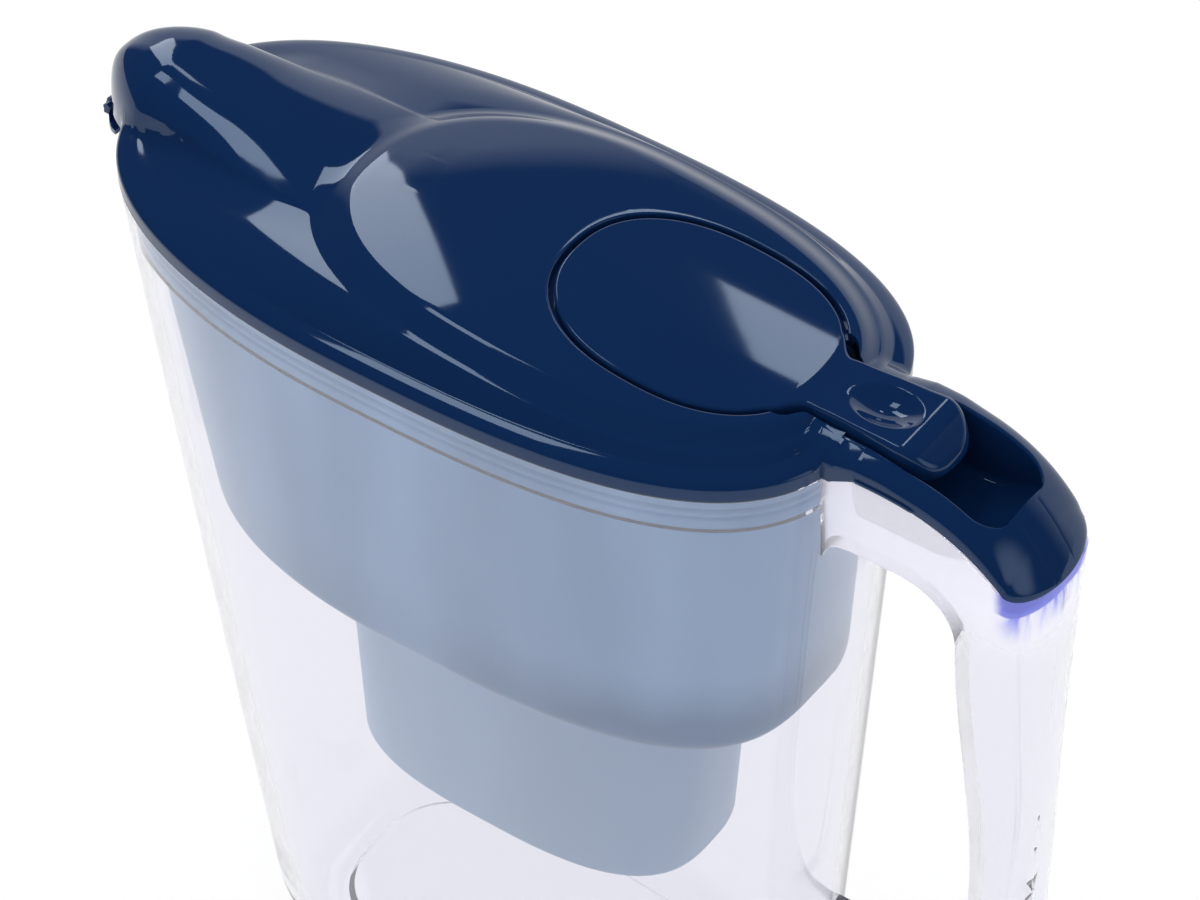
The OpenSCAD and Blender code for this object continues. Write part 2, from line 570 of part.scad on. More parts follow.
// ---- spout flap ----
module spout_flap() {
    x = spout_axis_x;
    z = spout_axis_z;
    t = spout_flap_wall;
    f = flap_front;
    low = z - spout_flap_drop;
    color([0.09, 0.17, 0.35]) placed() union() {
        translate([x, 0, z]) rotate([90, 0, 0]) {
            cylinder(r = 1.7, h = 2 * flap_knuckle, center = true, $fn = 36);
            cylinder(r = spout_pin_radius, h = 2 * (flap_knuckle + 2.2), center = true, $fn = 36);
        }
        across(flap_knuckle) polygon([[x - 1.7, z], [x - 2.6, z - 2], [x - f, z - 3.6], [x - f, z - 4.4], [x - f + t, z - 4.4],
            [x - 0.6, z - 1.4]]);
        intersection() {
            across(8.5) polygon([[x - f, z - 3.4], [x - f, low + 1.4], [x - 2, low + 0.2], [x - 0.6, low], [x + 3.6, low + 1.4],
                [x + 3.6, low + 1.4 + t * 0.8], [x - 0.6, low + t], [x - f + t, low + 2], [x - f + t, z - 3.4]]);
            linear_extrude(height = 400) polygon(flat(oval(x + 12.4, 15.4, 9.6, 2.2), 40));
        }
    }
}

// ---- cartridge ----
seal_height = 1.6;
flange_height = 1.8;
seal_z = floor_z + hopper_wall;
flange_z = seal_z + seal_height;
shell_top = flange_z + flange_height;
shell_low = cup_low_z + hopper_wall + 2.2;
function shell_at(z, d) = inset(cup_at(z), hopper_wall + cartridge_gap + d);
flange_line = inset(cup_top_line, -2.4);
grid_z = shell_low + 1.4;
grid_height = 2;
function cup_level(o, z) = [for (p = flat(o)) [p[0], p[1], z]];

module cartridge_shell() {
    w = cartridge_wall;
    color([0.93, 0.94, 0.95]) placed() skin_loop([
        cup_level(shell_at(shell_low, 4.4), shell_low), cup_level(shell_at(shell_low, 1), shell_low),
        cup_level(shell_at(shell_low, 0), shell_low + 1.2), cup_level(shell_at(seal_z, 0), seal_z),
        cup_level(shell_at(seal_z, 0), flange_z), cup_level(flange_line, flange_z),
        cup_level(flange_line, shell_top), cup_level(shell_at(seal_z, w), shell_top),
        cup_level(shell_at(shell_low, w), grid_z), cup_level(shell_at(shell_low, 4.4), grid_z)]);
}

module ring_plate(outer, hole, z, h) {
    skin_loop([cup_level(hole, z), cup_level(outer, z), cup_level(outer, z + h), cup_level(hole, z + h)]);
}

module slots(half, length, z, h) {
    pitch = 2 * half / slot_count;
    for (i = [0 : slot_count - 1])
        translate([cup_x - half + (i + 0.5) * pitch - 1.1, -length / 2, z]) cube([2.2, length, h]);
}

module cartridge_cap() {
    base = inset(cup_top_line, 3.4);
    top = shell_top + cap_height;
    w = cartridge_wall;
    color([0.90, 0.92, 0.94]) placed() difference() {
        union() {
            skin_capped([
                cup_level(inset(base, 12), shell_top + 4.4), cup_level(inset(base, w + 2.6), shell_top + cap_height - 3.2),
                cup_level(inset(base, w), shell_top + cap_height - 5), cup_level(inset(base, w), shell_top),
                cup_level(inset(base, -2.6), shell_top), cup_level(inset(base, -2.6), shell_top + 1.6),
                cup_level(base, shell_top + 1.6), cup_level(base, top - 3.4), cup_level(inset(base, 1.4), top - 1.2),
                cup_level(inset(base, 5), top), cup_level(inset(base, 12), top)]);
            translate([cup_x, 0, top - 0.5]) rotate([90, 0, 0]) translate([0, 0, -1.4])
                linear_extrude(height = 2.8) difference() {
                    intersection() {
                        circle(r = 9, $fn = 40);
                        translate([-12, 0]) square([24, 12]);
                    }
                    circle(r = 6, $fn = 40);
                }
        }
        difference() {
            slots(cup_half_length - 14, 2 * cup_half_width - 22, shell_top - 1, cap_height + 3);
            translate([cup_x - 11, -20, shell_top - 3]) cube([22, 40, 30]);
        }
    }
}

module cartridge_seal() {
    color([0.25, 0.27, 0.30]) placed() ring_plate(inset(flange_line, 0.2), inset(shell_at(seal_z, 0), -0.1), seal_z, seal_height);
}

module cartridge_grid() {
    color([0.90, 0.92, 0.94]) placed() difference() {
        skin_capped([cup_level(shell_at(shell_low, cartridge_wall + 0.3), grid_z + 0.05),
            cup_level(shell_at(shell_low, cartridge_wall + 0.3), grid_z + 0.05 + grid_height)]);
        slots(cup_half_length - 15, 2 * cup_half_width - 22, grid_z - 1, grid_height + 3);
    }
}

module screen(z) {
    o = shell_at(z, cartridge_wall + 0.5);
    skin_capped([cup_level(o, z), cup_level(o, z + screen_thickness)]);
}
lower_screen_z = grid_z + grid_height + 0.1;
upper_screen_z = seal_z - 4;
module lower_screen() {
    color([0.80, 0.82, 0.84]) placed() screen(lower_screen_z);
}
module upper_screen() {
    color([0.80, 0.82, 0.84]) placed() screen(upper_screen_z);
}
module filter_media() {
    z0 = lower_screen_z + screen_thickness + 0.05;
    z1 = upper_screen_z - 0.05;
    color([0.20, 0.20, 0.21]) placed()
        skin_capped([cup_level(shell_at(z0, cartridge_wall + 0.6), z0), cup_level(shell_at(z1, cartridge_wall + 0.6), z1)]);
}

jug_body();
jug_handle();
hopper();
filter_cup();
lid_shell();
lid_skirt();
lid_tail();
fill_flap();
spout_flap();
cartridge_shell();
cartridge_cap();
cartridge_seal();
cartridge_grid();
upper_screen();
lower_screen();
filter_media();
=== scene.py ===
"""Water filter pitcher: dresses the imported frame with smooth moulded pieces, finishes and a pale studio."""
from math import acos, copysign, cos, dist, exp, hypot, pi, radians, sin, sqrt, tan

import bpy
from bpy.props import FloatProperty, FloatVectorProperty, PointerProperty
from bpy.types import Operator, Panel, PropertyGroup
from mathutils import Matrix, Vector

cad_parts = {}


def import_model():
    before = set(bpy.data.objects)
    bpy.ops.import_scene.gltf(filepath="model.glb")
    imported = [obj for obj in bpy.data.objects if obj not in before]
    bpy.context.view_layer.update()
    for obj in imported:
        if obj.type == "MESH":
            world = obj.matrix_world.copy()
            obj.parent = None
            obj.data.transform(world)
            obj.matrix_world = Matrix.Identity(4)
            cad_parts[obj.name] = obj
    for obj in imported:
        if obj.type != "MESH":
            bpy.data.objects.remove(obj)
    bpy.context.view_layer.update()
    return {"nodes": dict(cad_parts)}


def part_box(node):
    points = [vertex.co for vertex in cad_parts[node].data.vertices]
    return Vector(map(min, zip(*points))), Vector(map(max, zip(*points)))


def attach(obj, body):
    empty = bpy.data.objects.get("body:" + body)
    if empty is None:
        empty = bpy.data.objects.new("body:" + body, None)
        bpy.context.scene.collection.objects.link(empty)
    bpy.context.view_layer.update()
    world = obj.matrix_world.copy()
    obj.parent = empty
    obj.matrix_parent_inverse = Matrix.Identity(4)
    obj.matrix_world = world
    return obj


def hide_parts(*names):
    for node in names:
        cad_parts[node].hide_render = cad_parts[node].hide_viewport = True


bl_info = {
    "name": "Water Filter Pitcher",
    "version": (1, 0, 0),
    "blender": (4, 5, 0),
    "location": "View3D > Sidebar > Pitcher",
    "description": "Builds a clear filter pitcher with a moulded lid around its packed frame",
    "category": "Add Mesh",
}

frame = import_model()
NODES = frame["nodes"]

# Places are in millimetres from the middle of the jug's rim: x towards the handle, z up from the rim.
JUG_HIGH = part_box("jug_body")[1]
RIM_REAR = 108.5
CENTRE_X = JUG_HIGH[0] * 1000 - RIM_REAR
RIM_Z = JUG_HIGH[2] * 1000


def world(x, y, z):
    """A place in metres from one in millimetres about the middle of the rim."""
    return ((x + CENTRE_X) / 1000, y / 1000, (z + RIM_Z) / 1000)


def srgb(code):
    """Linear RGB from an sRGB hex value."""
    parts = [int(code[i:i + 2], 16) / 255 for i in (1, 3, 5)]
    return tuple(c / 12.92 if c <= 0.04045 else ((c + 0.055) / 1.055) ** 2.4 for c in parts)


# ---- sizes and colours


def size(name, default, text, low=0.0, high=1000.0):
    return FloatProperty(name=name, default=default, description=text, min=low, max=high)


def colour(name, code, text):
    return FloatVectorProperty(
        name=name, default=srgb(code), description=text, subtype="COLOR", size=3, min=0, max=1)


class PITCHER_PG_jug(PropertyGroup):
    wall: size("Wall", 3.2, "Thickness of the jug's wall in mm")
    rim_wall: size("Rim wall", 1.9, "Thickness of the wall round the collar in mm")
    lip_reach: size("Lip reach", 7.0, "Reach of the pouring lip in mm")
    handle_web: size("Handle web", 3.0, "Thickness of the web that faces the jug in mm")
    handle_side: size("Handle side", 2.4, "Thickness of the handle's sides in mm")
    tint: colour("Tint", "#F6F6FB", "Colour of the clear plastic")


class PITCHER_PG_hopper(PropertyGroup):
    wall: size("Wall", 1.8, "Thickness of the hopper's wall in mm")
    groove: size("Groove", 0.6, "Depth of the grooves round the collar in mm")
    body: colour("Body", "#A9CBEE", "Colour of the milky plastic")
    # Deep colours the painted shade low on the basket and towards the back, and the dark end of the random
    # cloudiness.
    deep: colour("Deep", "#6689AE", "Colour where the plastic is thick")


class PITCHER_PG_lid(PropertyGroup):
    edge: size("Edge", 3.0, "Height of the lid's upright edge in mm")
    shoulder: size("Shoulder", 3.0, "Height of the soft shoulder in mm")
    island_rise: size("Island rise", 2.7, "Rise of the raised island in mm")
    fillet: size("Fillet", 7.0, "Size of the soft fillets of the hood in mm")
    flap_gap: size("Flap gap", 1.2, "Groove round the fill flap in mm")
    dimple_depth: size("Dimple depth", 2.6, "Depth of the thumb dimple in mm")
    navy: colour("Navy", "#0F2E5C", "Colour of the gloss plastic")


class PITCHER_PG_stage(PropertyGroup):
    azimuth: size("Azimuth", 35.61, "Turn of the camera about the pitcher in degrees", -360)
    elevation: size("Elevation", 43.74, "Height of the camera in degrees")
    distance: size("Distance", 1019.15, "Distance of the camera from its target in mm", 0, 5000)
    lens: size("Lens", 135.03, "Focal length in mm")
    fill: size("Fill", 0.72, "Level of the even studio light", 0, 5)


# ---- shape of the pitcher, in mm


def clamp(v, low=0.0, high=1.0):
    return min(high, max(low, v))


def mix(a, b, t):
    return a + (b - a) * t


def ease(v):
    v = clamp(v)
    return v * v * (3 - 2 * v)


def soft_max(a, b, k):
    """The larger of two heights, with a fillet of about k where they meet."""
    h = max(k - abs(a - b), 0) / k
    return max(a, b) + h * h * k / 4


def shares(steps, first=1):
    """Equal steps up to 1, from number first on."""
    return [i / steps for i in range(first, steps + 1)]


def quarter(steps, first=0):
    """Equal steps through a quarter turn, from number first on."""
    return [pi / 2 * i / steps for i in range(first, steps + 1)]


def bend(r, steps, first=0):
    """Places along a quarter bend, as their distances from the two tangents that the bend runs between."""
    return [(r * (1 - cos(a)), r * (1 - sin(a))) for a in quarter(steps, first)]


# An outline is (centre x, front reach, rear reach, half width, front exponent, rear exponent).
RIM = (0, 101.7, RIM_REAR, 53.9, 2.27, 2.8)
FOOT = (0, 58.3, 97.4, 45.4, 2.85, 2.85)
ISLAND = (30.4, 72.6, 72.6, 45, 2.3, 2.3)
FLAP = (60.5, 34.2, 34.2, 26.8, 2.33, 2.33)
JUG_HEIGHT = 236.0

# Every ring has this many points, a little closer together at the nose than at the handle.
RING = 288
CROWDING = 0.4
TURNS = [u + CROWDING * sin(u) for u in [2 * pi * i / RING for i in range(RING)]]


def inset(o, d):
    return (o[0], o[1] - d, o[2] - d, o[3] - d, o[4], o[5])


def mix_outline(a, b, t):
    return tuple(mix(p, q, t) for p, q in zip(a, b))


def jug_outline(z):
    """The jug's outer wall at a height."""
    return mix_outline(FOOT, RIM, (z + JUG_HEIGHT) / JUG_HEIGHT)


def ramp(t):
    """Outlines of the ramp up to the island, from its foot at 0 to its top at 1."""
    return (ISLAND[0], ISLAND[1] - 10.5 * t, ISLAND[2] - 3.78 * t, ISLAND[3] - 8.4 * t, *ISLAND[4:])


def on_outline(o, t):
    c, s = cos(t), sin(t)
    n, reach = (o[4], o[1]) if c < 0 else (o[5], o[2])
    return (o[0] + copysign(reach * abs(c) ** (2 / n), c),
            copysign(o[3] * abs(s) ** (2 / n), s))


def plan(o):
    return [on_outline(o, t) for t in TURNS]


def between(a, b, t):
    return [(mix(p[0], q[0], t), mix(p[1], q[1], t)) for p, q in zip(a, b)]


def at_height(points, z):
    return [(x, y, z) for x, y in points]


def lay(o, z):
    return at_height(plan(o), z)


def wall_ring(outline_at, z, d=0):
    """A ring of a tapered wall at a height, d inside its face."""
    return lay(inset(outline_at(z), d), z)


# crown of the island: straight behind CROWN_X, and arched in front of it
CROWN_X, CROWN_SLOPE, CROWN_BEND, CROWN_SAG = 30, 0.075, 0.001745, 3.2
CROWN_REAR, CROWN_FRONT = 14.2, 16.5


def crown(x, y):
    """Height of the island's gentle crown above the rim."""
    if x > CROWN_X:
        along = CROWN_REAR - CROWN_SLOPE * (x - FLAP[0])
    else:
        along = CROWN_FRONT + CROWN_SLOPE * (CROWN_X - x) - CROWN_BEND * (CROWN_X - x) ** 2
    return along - CROWN_SAG * (y / ISLAND[3]) ** 2


# hood over the spout: a round nose in front of HOOD_X, and a ridge that sinks behind it
HOOD_X, HOOD_TIP, HOOD_HALF, HOOD_HIGH = -92.6, -114.6, 18.0, 18.8
NOSE_POWER, NOSE_DOME, HOOD_DOME = 1.42, 2.6, 2.8
NOSE_BASE, NOSE_LOW, FAR_BELOW = 3, -3.5, -40.0
# the bell's largest share in the blend of free dome and bell, where it starts and how far it takes to come in
BELL_SHARE, BELL_START, BELL_RUN = 0.65, -99, 45


def nose_arc(share, power):
    """A superellipse's quarter, from 1 at share 0 to 0 at share 1."""
    return (1 - share ** power) ** (1 / power)


def hood_share(x):
    return clamp((HOOD_X - x) / (HOOD_X - HOOD_TIP))


def hood_width(x):
    if x > HOOD_X:
        return mix(HOOD_HALF, HOOD_HALF + 3.5, ease((x - HOOD_X) / 45))
    return HOOD_HALF * nose_arc(hood_share(x), NOSE_POWER)


def hood_base(x):
    if x > HOOD_X:
        return mix(NOSE_BASE, 7.2, ease((x - HOOD_X) / 10)) + 0.045 * max(0, x + 82)
    return mix(NOSE_BASE, NOSE_LOW, ease((HOOD_X - x) / 21))


def hood_ridge(x):
    if x > HOOD_X:
        return HOOD_HIGH - 0.1 * (x - HOOD_X)
    return mix(hood_base(x), HOOD_HIGH, nose_arc(hood_share(x), NOSE_DOME))


def hood_flank(x):
    """Where the hood's sides have run out into the lid, like the flanks of a bell."""
    return mix(HOOD_HALF + 0.5, HOOD_HALF + 13, ease((x + 97) / 27))


def hood(x, y):
    if x < HOOD_TIP:
        return FAR_BELOW
    w, base = max(hood_width(x), 0.01), hood_base(x)
    dome = nose_arc(abs(y) / w, HOOD_DOME) if abs(y) < w else 0
    return base + (hood_ridge(x) - base) * dome - 2.5 * max(0, abs(y) - w)


def with_hood(x, y, z, fillet):
    """The lid's height z with the hood: a free dome at the nose, and a bell that runs out behind it."""
    free = soft_max(z, hood(x, y), fillet)
    share = BELL_SHARE * ease((x - BELL_START) / BELL_RUN)
    if share == 0:
        return free
    flank, power = hood_flank(x), mix(1.6, 1.15, ease((x + 84) / 16))
    bell = (1 + cos(pi * (abs(y) / flank) ** power)) / 2 if abs(y) < flank else 0
    rise = hood_ridge(x) - z
    rise = (rise + sqrt(rise * rise + 1)) / 2
    return mix(free, z + rise * bell, share)


# tail over the handle, with the slot for the flap's neck and the thumb well
TAIL_HALF, TAIL_TIP_HALF = 17.9, 16.8
TAIL_START, BAND_START, TIP_START, TAIL_REACH = 108.5, 115.0, 154.0, 161.7
EDGE_HIGH, TAIL_HIGH, TAIL_TOP_X = 3.9, 11, 112
DECK, WELL_FLOOR, NO_WELL = 2.3, -8.3, 30.0
WELL_START, WELL_DEEP, WELL_CURVE, WELL_END, WELL_REAR = 111.4, 114.5, 132, 149.2, 149.8
CURVE_RUN, CURVE_RISE = 17.4, 12
SLOT_WAIST, SLOT_WIDE, SLOT_CORNER = 10.5, 12.3, 8.0
WAIST_END, WIDE_START = 103, 125


def tip_share(x):
    return (x - TIP_START) / (TAIL_REACH - TIP_START)


def tail_edge(x):
    if x < BAND_START:
        return EDGE_HIGH - 3.4 * (1 - clamp((x - TAIL_START) / (BAND_START - TAIL_START)))
    if x < TIP_START:
        return EDGE_HIGH - 16 * ((x - BAND_START) / 41.6) ** 2.67
    return tail_edge(TIP_START - 1e-6) - 3.7 * tip_share(x) ** 0.6


def tail_top(x):
    return TAIL_HIGH - 24.3 * (max(0, x - TAIL_TOP_X) / (TAIL_REACH - TAIL_TOP_X)) ** 3.5


def tail_width(x):
    if x < TIP_START:
        return mix(TAIL_HALF, TAIL_TIP_HALF, clamp((x - 98) / (TIP_START - 98)) ** 2)
    return TAIL_TIP_HALF * sqrt(max(0, 1 - tip_share(x) ** 2))


def tail_band(x):
    """Height of the upright band along the tail's lower edge."""
    band = (3.9 - 1.8 * ease((x - 113) / 17)) * sqrt(1 - clamp((x - 136) / 19) ** 3)
    return min(max(0.05, band), 0.4 * (tail_top(x) - tail_edge(x)))


def tail_dome(x, y):
    w, foot = tail_width(x), tail_edge(x) + tail_band(x)
    if abs(y) >= w:
        return foot - 3 * (abs(y) - w)
    return foot + (tail_top(x) - foot) * sqrt(1 - (y / w) ** 2)


def slot_half(x):
    """Half width of the slot for the neck and of the thumb well behind it."""
    if x < WAIST_END:
        return SLOT_WAIST
    if x < WIDE_START:
        return mix(SLOT_WAIST, SLOT_WIDE, ((x - WAIST_END) / (WIDE_START - WAIST_END)) ** 1.2)
    r = SLOT_CORNER
    if x < WELL_REAR - r:
        return SLOT_WIDE
    return SLOT_WIDE - r + sqrt(max(0, r * r - min(x - WELL_REAR + r, r) ** 2))


def well_floor(x):
    if x < WELL_START:
        return DECK
    if x < WELL_DEEP:
        return mix(DECK, WELL_FLOOR, ease((x - WELL_START) / (WELL_DEEP - WELL_START)))
    if x < WELL_CURVE:
        return WELL_FLOOR
    if x < WELL_END:
        return WELL_FLOOR + CURVE_RISE - CURVE_RISE * sqrt(1 - ((x - WELL_CURVE) / CURVE_RUN) ** 2)
    return NO_WELL


# ---- building


def deselect():
    for o in bpy.context.selected_objects:
        o.select_set(False)


def activate(obj):
    deselect()
    obj.select_set(True)
    bpy.context.view_layer.objects.active = obj


def edit(obj, *steps):
    """Runs edit-mode operators on the whole of one object."""
    activate(obj)
    bpy.ops.object.mode_set(mode="EDIT")
    bpy.ops.mesh.select_all(action="SELECT")
    for step in steps:
        step()
    bpy.ops.object.mode_set(mode="OBJECT")


def smooth(obj, degrees=32):
    activate(obj)
    bpy.ops.object.shade_smooth_by_angle(angle=radians(degrees))


def loft(name, rings, loop=False, degrees=32):
    """A closed skin through rings of equally many points: a grid whose vertices are set out ring by
    ring, then joined where each ring's two ends meet and at poles, where a ring has shrunk to a point."""
    rings = [list(r) for r in rings]
    if loop:
        rings.append(rings[0])
    across, along = len(rings[0]), len(rings)
    deselect()
    bpy.ops.mesh.primitive_grid_add(x_subdivisions=across, y_subdivisions=along - 1, size=1)
    obj = bpy.context.object
    obj.name = obj.data.name = name
    flat = [c for r in rings for p in r + [r[0]] for c in world(*p)]
    vertices = obj.data.vertices
    if len(flat) != 3 * len(vertices):
        raise RuntimeError(f"{name}: {len(vertices)} vertices for {len(flat) // 3} ring points")
    vertices.foreach_set("co", flat)
    obj.data.update()
    edit(obj, lambda: bpy.ops.mesh.remove_doubles(threshold=2e-6),
         lambda: bpy.ops.mesh.normals_make_consistent(inside=False))
    for layer in list(obj.data.uv_layers):
        obj.data.uv_layers.remove(layer)
    smooth(obj, degrees)
    return obj


def pole(x, y, z, count=RING):
    return [(x, y, z)] * count


def centroid(points):
    return tuple(sum(c) / len(points) for c in zip(*points))


def prism(name, outline, low, high):
    """An upright prism on a plan outline, from height low to high."""
    n, middle = len(outline), centroid(outline)
    return loft(name, [pole(*middle, low, n), at_height(outline, low), at_height(outline, high),
                       pole(*middle, high, n)])


def boolean(obj, other, operation):
    activate(obj)
    mod = obj.modifiers.new("Cut", "BOOLEAN")
    mod.object, mod.operation, mod.solver = other, operation, "EXACT"
    bpy.ops.object.modifier_apply(modifier=mod.name)
    bpy.data.objects.remove(other, do_unlink=True)


def join(main, *others):
    activate(main)
    for o in others:
        o.select_set(True)
    bpy.ops.object.join()
    return main


def dress(obj, material, body, slot, *nodes):
    obj.data.materials.clear()
    obj.data.materials.append(material)
    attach(obj, body)
    if nodes:
        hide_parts(*nodes)


# ---- materials


def feed(tree, socket, value):
    """Gives an input a plain value, or links another node's output to it."""
    if isinstance(value, bpy.types.NodeSocket):
        tree.links.new(value, socket)
    else:
        socket.default_value = value


def add(tree, kind, settings=()):
    """A shader node with its settings. A key is an attribute, or an input's name or number."""
    node = tree.nodes.new("ShaderNode" + kind)
    for key, value in dict(settings).items():
        if isinstance(key, str) and hasattr(node, key):
            setattr(node, key, value)
        else:
            feed(tree, node.inputs[key], value)
    return node


def new_material(name):
    mat = bpy.data.materials.new(name)
    mat.use_nodes = True
    mat.node_tree.nodes.clear()
    return mat, mat.node_tree


def place(tree):
    """Object coordinates, in metres from the middle of the pitcher's foot."""
    return add(tree, "TexCoord").outputs["Object"]


def noise(tree, vector, scale, detail):
    return add(tree, "TexNoise", {
        "Vector": vector, "Scale": scale, "Detail": detail}).outputs["Fac"]


def stretch(tree, vector, scale):
    return add(tree, "Mapping", {"Vector": vector, "Scale": scale}).outputs[0]


def remap(tree, value, start=0.0, end=1.0, low=0.0, high=1.0, curve="LINEAR"):
    """A value carried from the range start to end over to low to high, and held at both ends."""
    return add(tree, "MapRange", {
        "Value": value, "From Min": start, "From Max": end, "To Min": low, "To Max": high,
        "interpolation_type": curve}).outputs[0]


def maths(tree, operation, *values, held=False):
    node = add(tree, "Math", {"operation": operation, "use_clamp": held})
    for number, value in enumerate(values):
        feed(tree, node.inputs[number], value)
    return node.outputs[0]


def tinted(tree, share, first, second):
    """A colour between two, by a share."""
    return add(tree, "Mix", {"data_type": "RGBA", 0: share, 6: first, 7: second}).outputs[2]


def relief(tree, height, strength, distance, invert=False):
    return add(tree, "Bump", {
        "Height": height, "Strength": strength, "Distance": distance, "invert": invert}).outputs[0]


def coat(tree, settings):
    """Ends a material in a Principled surface."""
    surface = add(tree, "BsdfPrincipled", settings)
    add(tree, "OutputMaterial", {"Surface": surface.outputs[0]})


def mixed(tree, share, first, second):
    return add(tree, "MixShader", {0: share, 1: first, 2: second}).outputs[0]


def rgba(colour_or_code):
    """A shader colour from linear RGB or from an sRGB hex value."""
    c = srgb(colour_or_code) if isinstance(colour_or_code, str) else colour_or_code
    return (*c, 1)


def gloss_navy_abs(navy):
    """Injection-moulded ABS in navy from a polished tool: an even deep colour, a wet gloss whose
    reflections are a little blue, and a trace of orange peel where the light slides over it."""
    mat, t = new_material("moulded_abs_navy")
    here = place(t)
    peel = noise(t, here, 90, 1.5)
    haze = noise(t, here, 14, 3)
    deep = tuple(c * 0.82 for c in navy)
    coat(t, {"IOR": 1.5, "Specular Tint": (0.58, 0.77, 1, 1),
             "Base Color": tinted(t, haze, rgba(deep), rgba(navy)),
             "Roughness": remap(t, haze, low=0.03, high=0.06), "Normal": relief(t, peel, 0.01, 0.0004)})
    return mat


def clear_san(tint):
    """Clear moulded SAN: bright and glassy, with a faint lavender and a faint painted glow all over. The
    handle's root under the tail is made less clear, with a stronger painted glow. Blue painted reflections of
    the navy tail run in streaked patches and a thin line at the tip of the tail."""
    mat, t = new_material("moulded_san_clear")
    here = place(t)
    flow = noise(t, here, 9, 2)
    split = add(t, "SeparateXYZ", {"Vector": here})

    def span(axis, start, end):
        """From 0 to 1 between two places along an axis, in millimetres about the middle of the rim."""
        shift = {"X": CENTRE_X, "Z": RIM_Z}[axis]
        return remap(t, split.outputs[axis], (shift + start) / 1000, (shift + end) / 1000,
                     curve="SMOOTHSTEP")

    def both(a, b):
        return maths(t, "MULTIPLY", a, b)

    # Painted glow: the handle's root under the tail is made less clear and glows pale lavender, and the rest
    # of the jug glows faintly.
    root = both(span("X", 105.5, 109), span("Z", -40, -16))
    # Painted reflection: blue streaked patches at the tip of the tail stand for the navy tail seen in the
    # clear plastic.
    blue_reflection_streaks = noise(t, stretch(t, here, (60, 420, 40)), 1, 2)
    tip = both(both(span("X", 151, 158), span("Z", -27, -15)), remap(t, blue_reflection_streaks, 0.4, 0.6))
    # Painted reflection: a thin blue line at the tip of the tail.
    blue_reflection_line = both(span("X", 152, 155), span("Z", -16.9, -16.1))
    tone = tinted(t, tip, rgba(tint), rgba("#3F57E6"))
    coat(t, {"IOR": 1.3, "Base Color": tinted(t, blue_reflection_line, tone, rgba("#2438C8")),
             "Transmission Weight": remap(t, root, low=0.955, high=0.5),
             # The emission is a painted glow, not a lamp.
             "Emission Color": rgba("#EEEDFA"),
             "Emission Strength": remap(t, root, low=0.01, high=0.17),
             "Roughness": remap(t, flow, low=0.0, high=0.03), "Normal": relief(t, flow, 0.05, 0.0006)})
    return mat


def milky_polypropylene(body, deep):
    """Translucent blue polypropylene: cloudy, soft inside, satin outside. Painted shade darkens it low on the
    basket and towards the back, a painted dark line of shade runs along each lower rounding, and it is paler
    on the cup."""
    mat, t = new_material("moulded_pp_milky_blue")
    here = place(t)
    split = add(t, "SeparateXYZ", {"Vector": here})
    cloud = noise(t, stretch(t, here, (22, 22, 5)), 1, 2)

    def upright(start, end, low=0.0, high=1.0, curve="LINEAR"):
        """A value that changes between two heights, in millimetres above the rim."""
        return remap(t, split.outputs["Z"], (RIM_Z + start) / 1000, (RIM_Z + end) / 1000, low, high, curve)

    # Painted shade: darker low on the basket and towards the back, in the deep colour.
    back = remap(t, split.outputs["X"], (CENTRE_X + 10) / 1000, (CENTRE_X + 80) / 1000, 0.25, 1.0)
    shade = maths(t, "MULTIPLY", upright(-66, -94, curve="SMOOTHSTEP"), back)
    stain = remap(t, cloud, 0.35, 0.65, high=0.45)
    tone = tinted(t, maths(t, "ADD", shade, stain, held=True), rgba(body), rgba(deep))
    # Painted shade: a thin dark line just above each lower rounding of the basket and the cup.
    for line in (-95.6, -163.2):
        over, under = upright(line - 0.6, line, 1.0, 0.0), upright(line - 2.2, line - 1.6)
        share = maths(t, "MULTIPLY", maths(t, "MULTIPLY", over, under), 0.7)
        tone = tinted(t, share, tone, rgba("#5B7286"))
    coat(t, {"IOR": 1.45, "Roughness": 0.34, "Transmission Weight": 0.12,
             "Sheen Weight": 0.35, "Sheen Tint": rgba("#C4D2D2"),
             "Base Color": tinted(t, upright(-98, -104, high=0.6), tone, rgba("#C6DCF2")),
             "Normal": relief(t, cloud, 0.06, 0.0005)})
    return mat


def satin_moulding(name, code):
    """White polypropylene or grey rubber, moulded, with the fine spark grain of its tool."""
    mat, t = new_material(name)
    grain = noise(t, place(t), 900, 2)
    coat(t, {"IOR": 1.49, "Base Color": rgba(code), "Roughness": remap(t, grain, low=0.35, high=0.5),
             "Normal": relief(t, grain, 0.12, 0.0002)})
    return mat


def granule_bed(name, code, pitch):
    """Loose grains, dark and dry, or needled felt, with a cell to each pitch in millimetres."""
    mat, t = new_material(name)
    cells = add(t, "TexVoronoi", {"Vector": place(t), "Scale": 1000 / pitch})
    depth = cells.outputs["Distance"]
    dark = tuple(c * 0.6 for c in srgb(code))
    coat(t, {"Roughness": 0.85, "Base Color": tinted(t, depth, rgba(dark), rgba(code)),
             "Normal": relief(t, depth, 0.5, pitch / 3000, invert=True)})
    return mat


# ---- operators


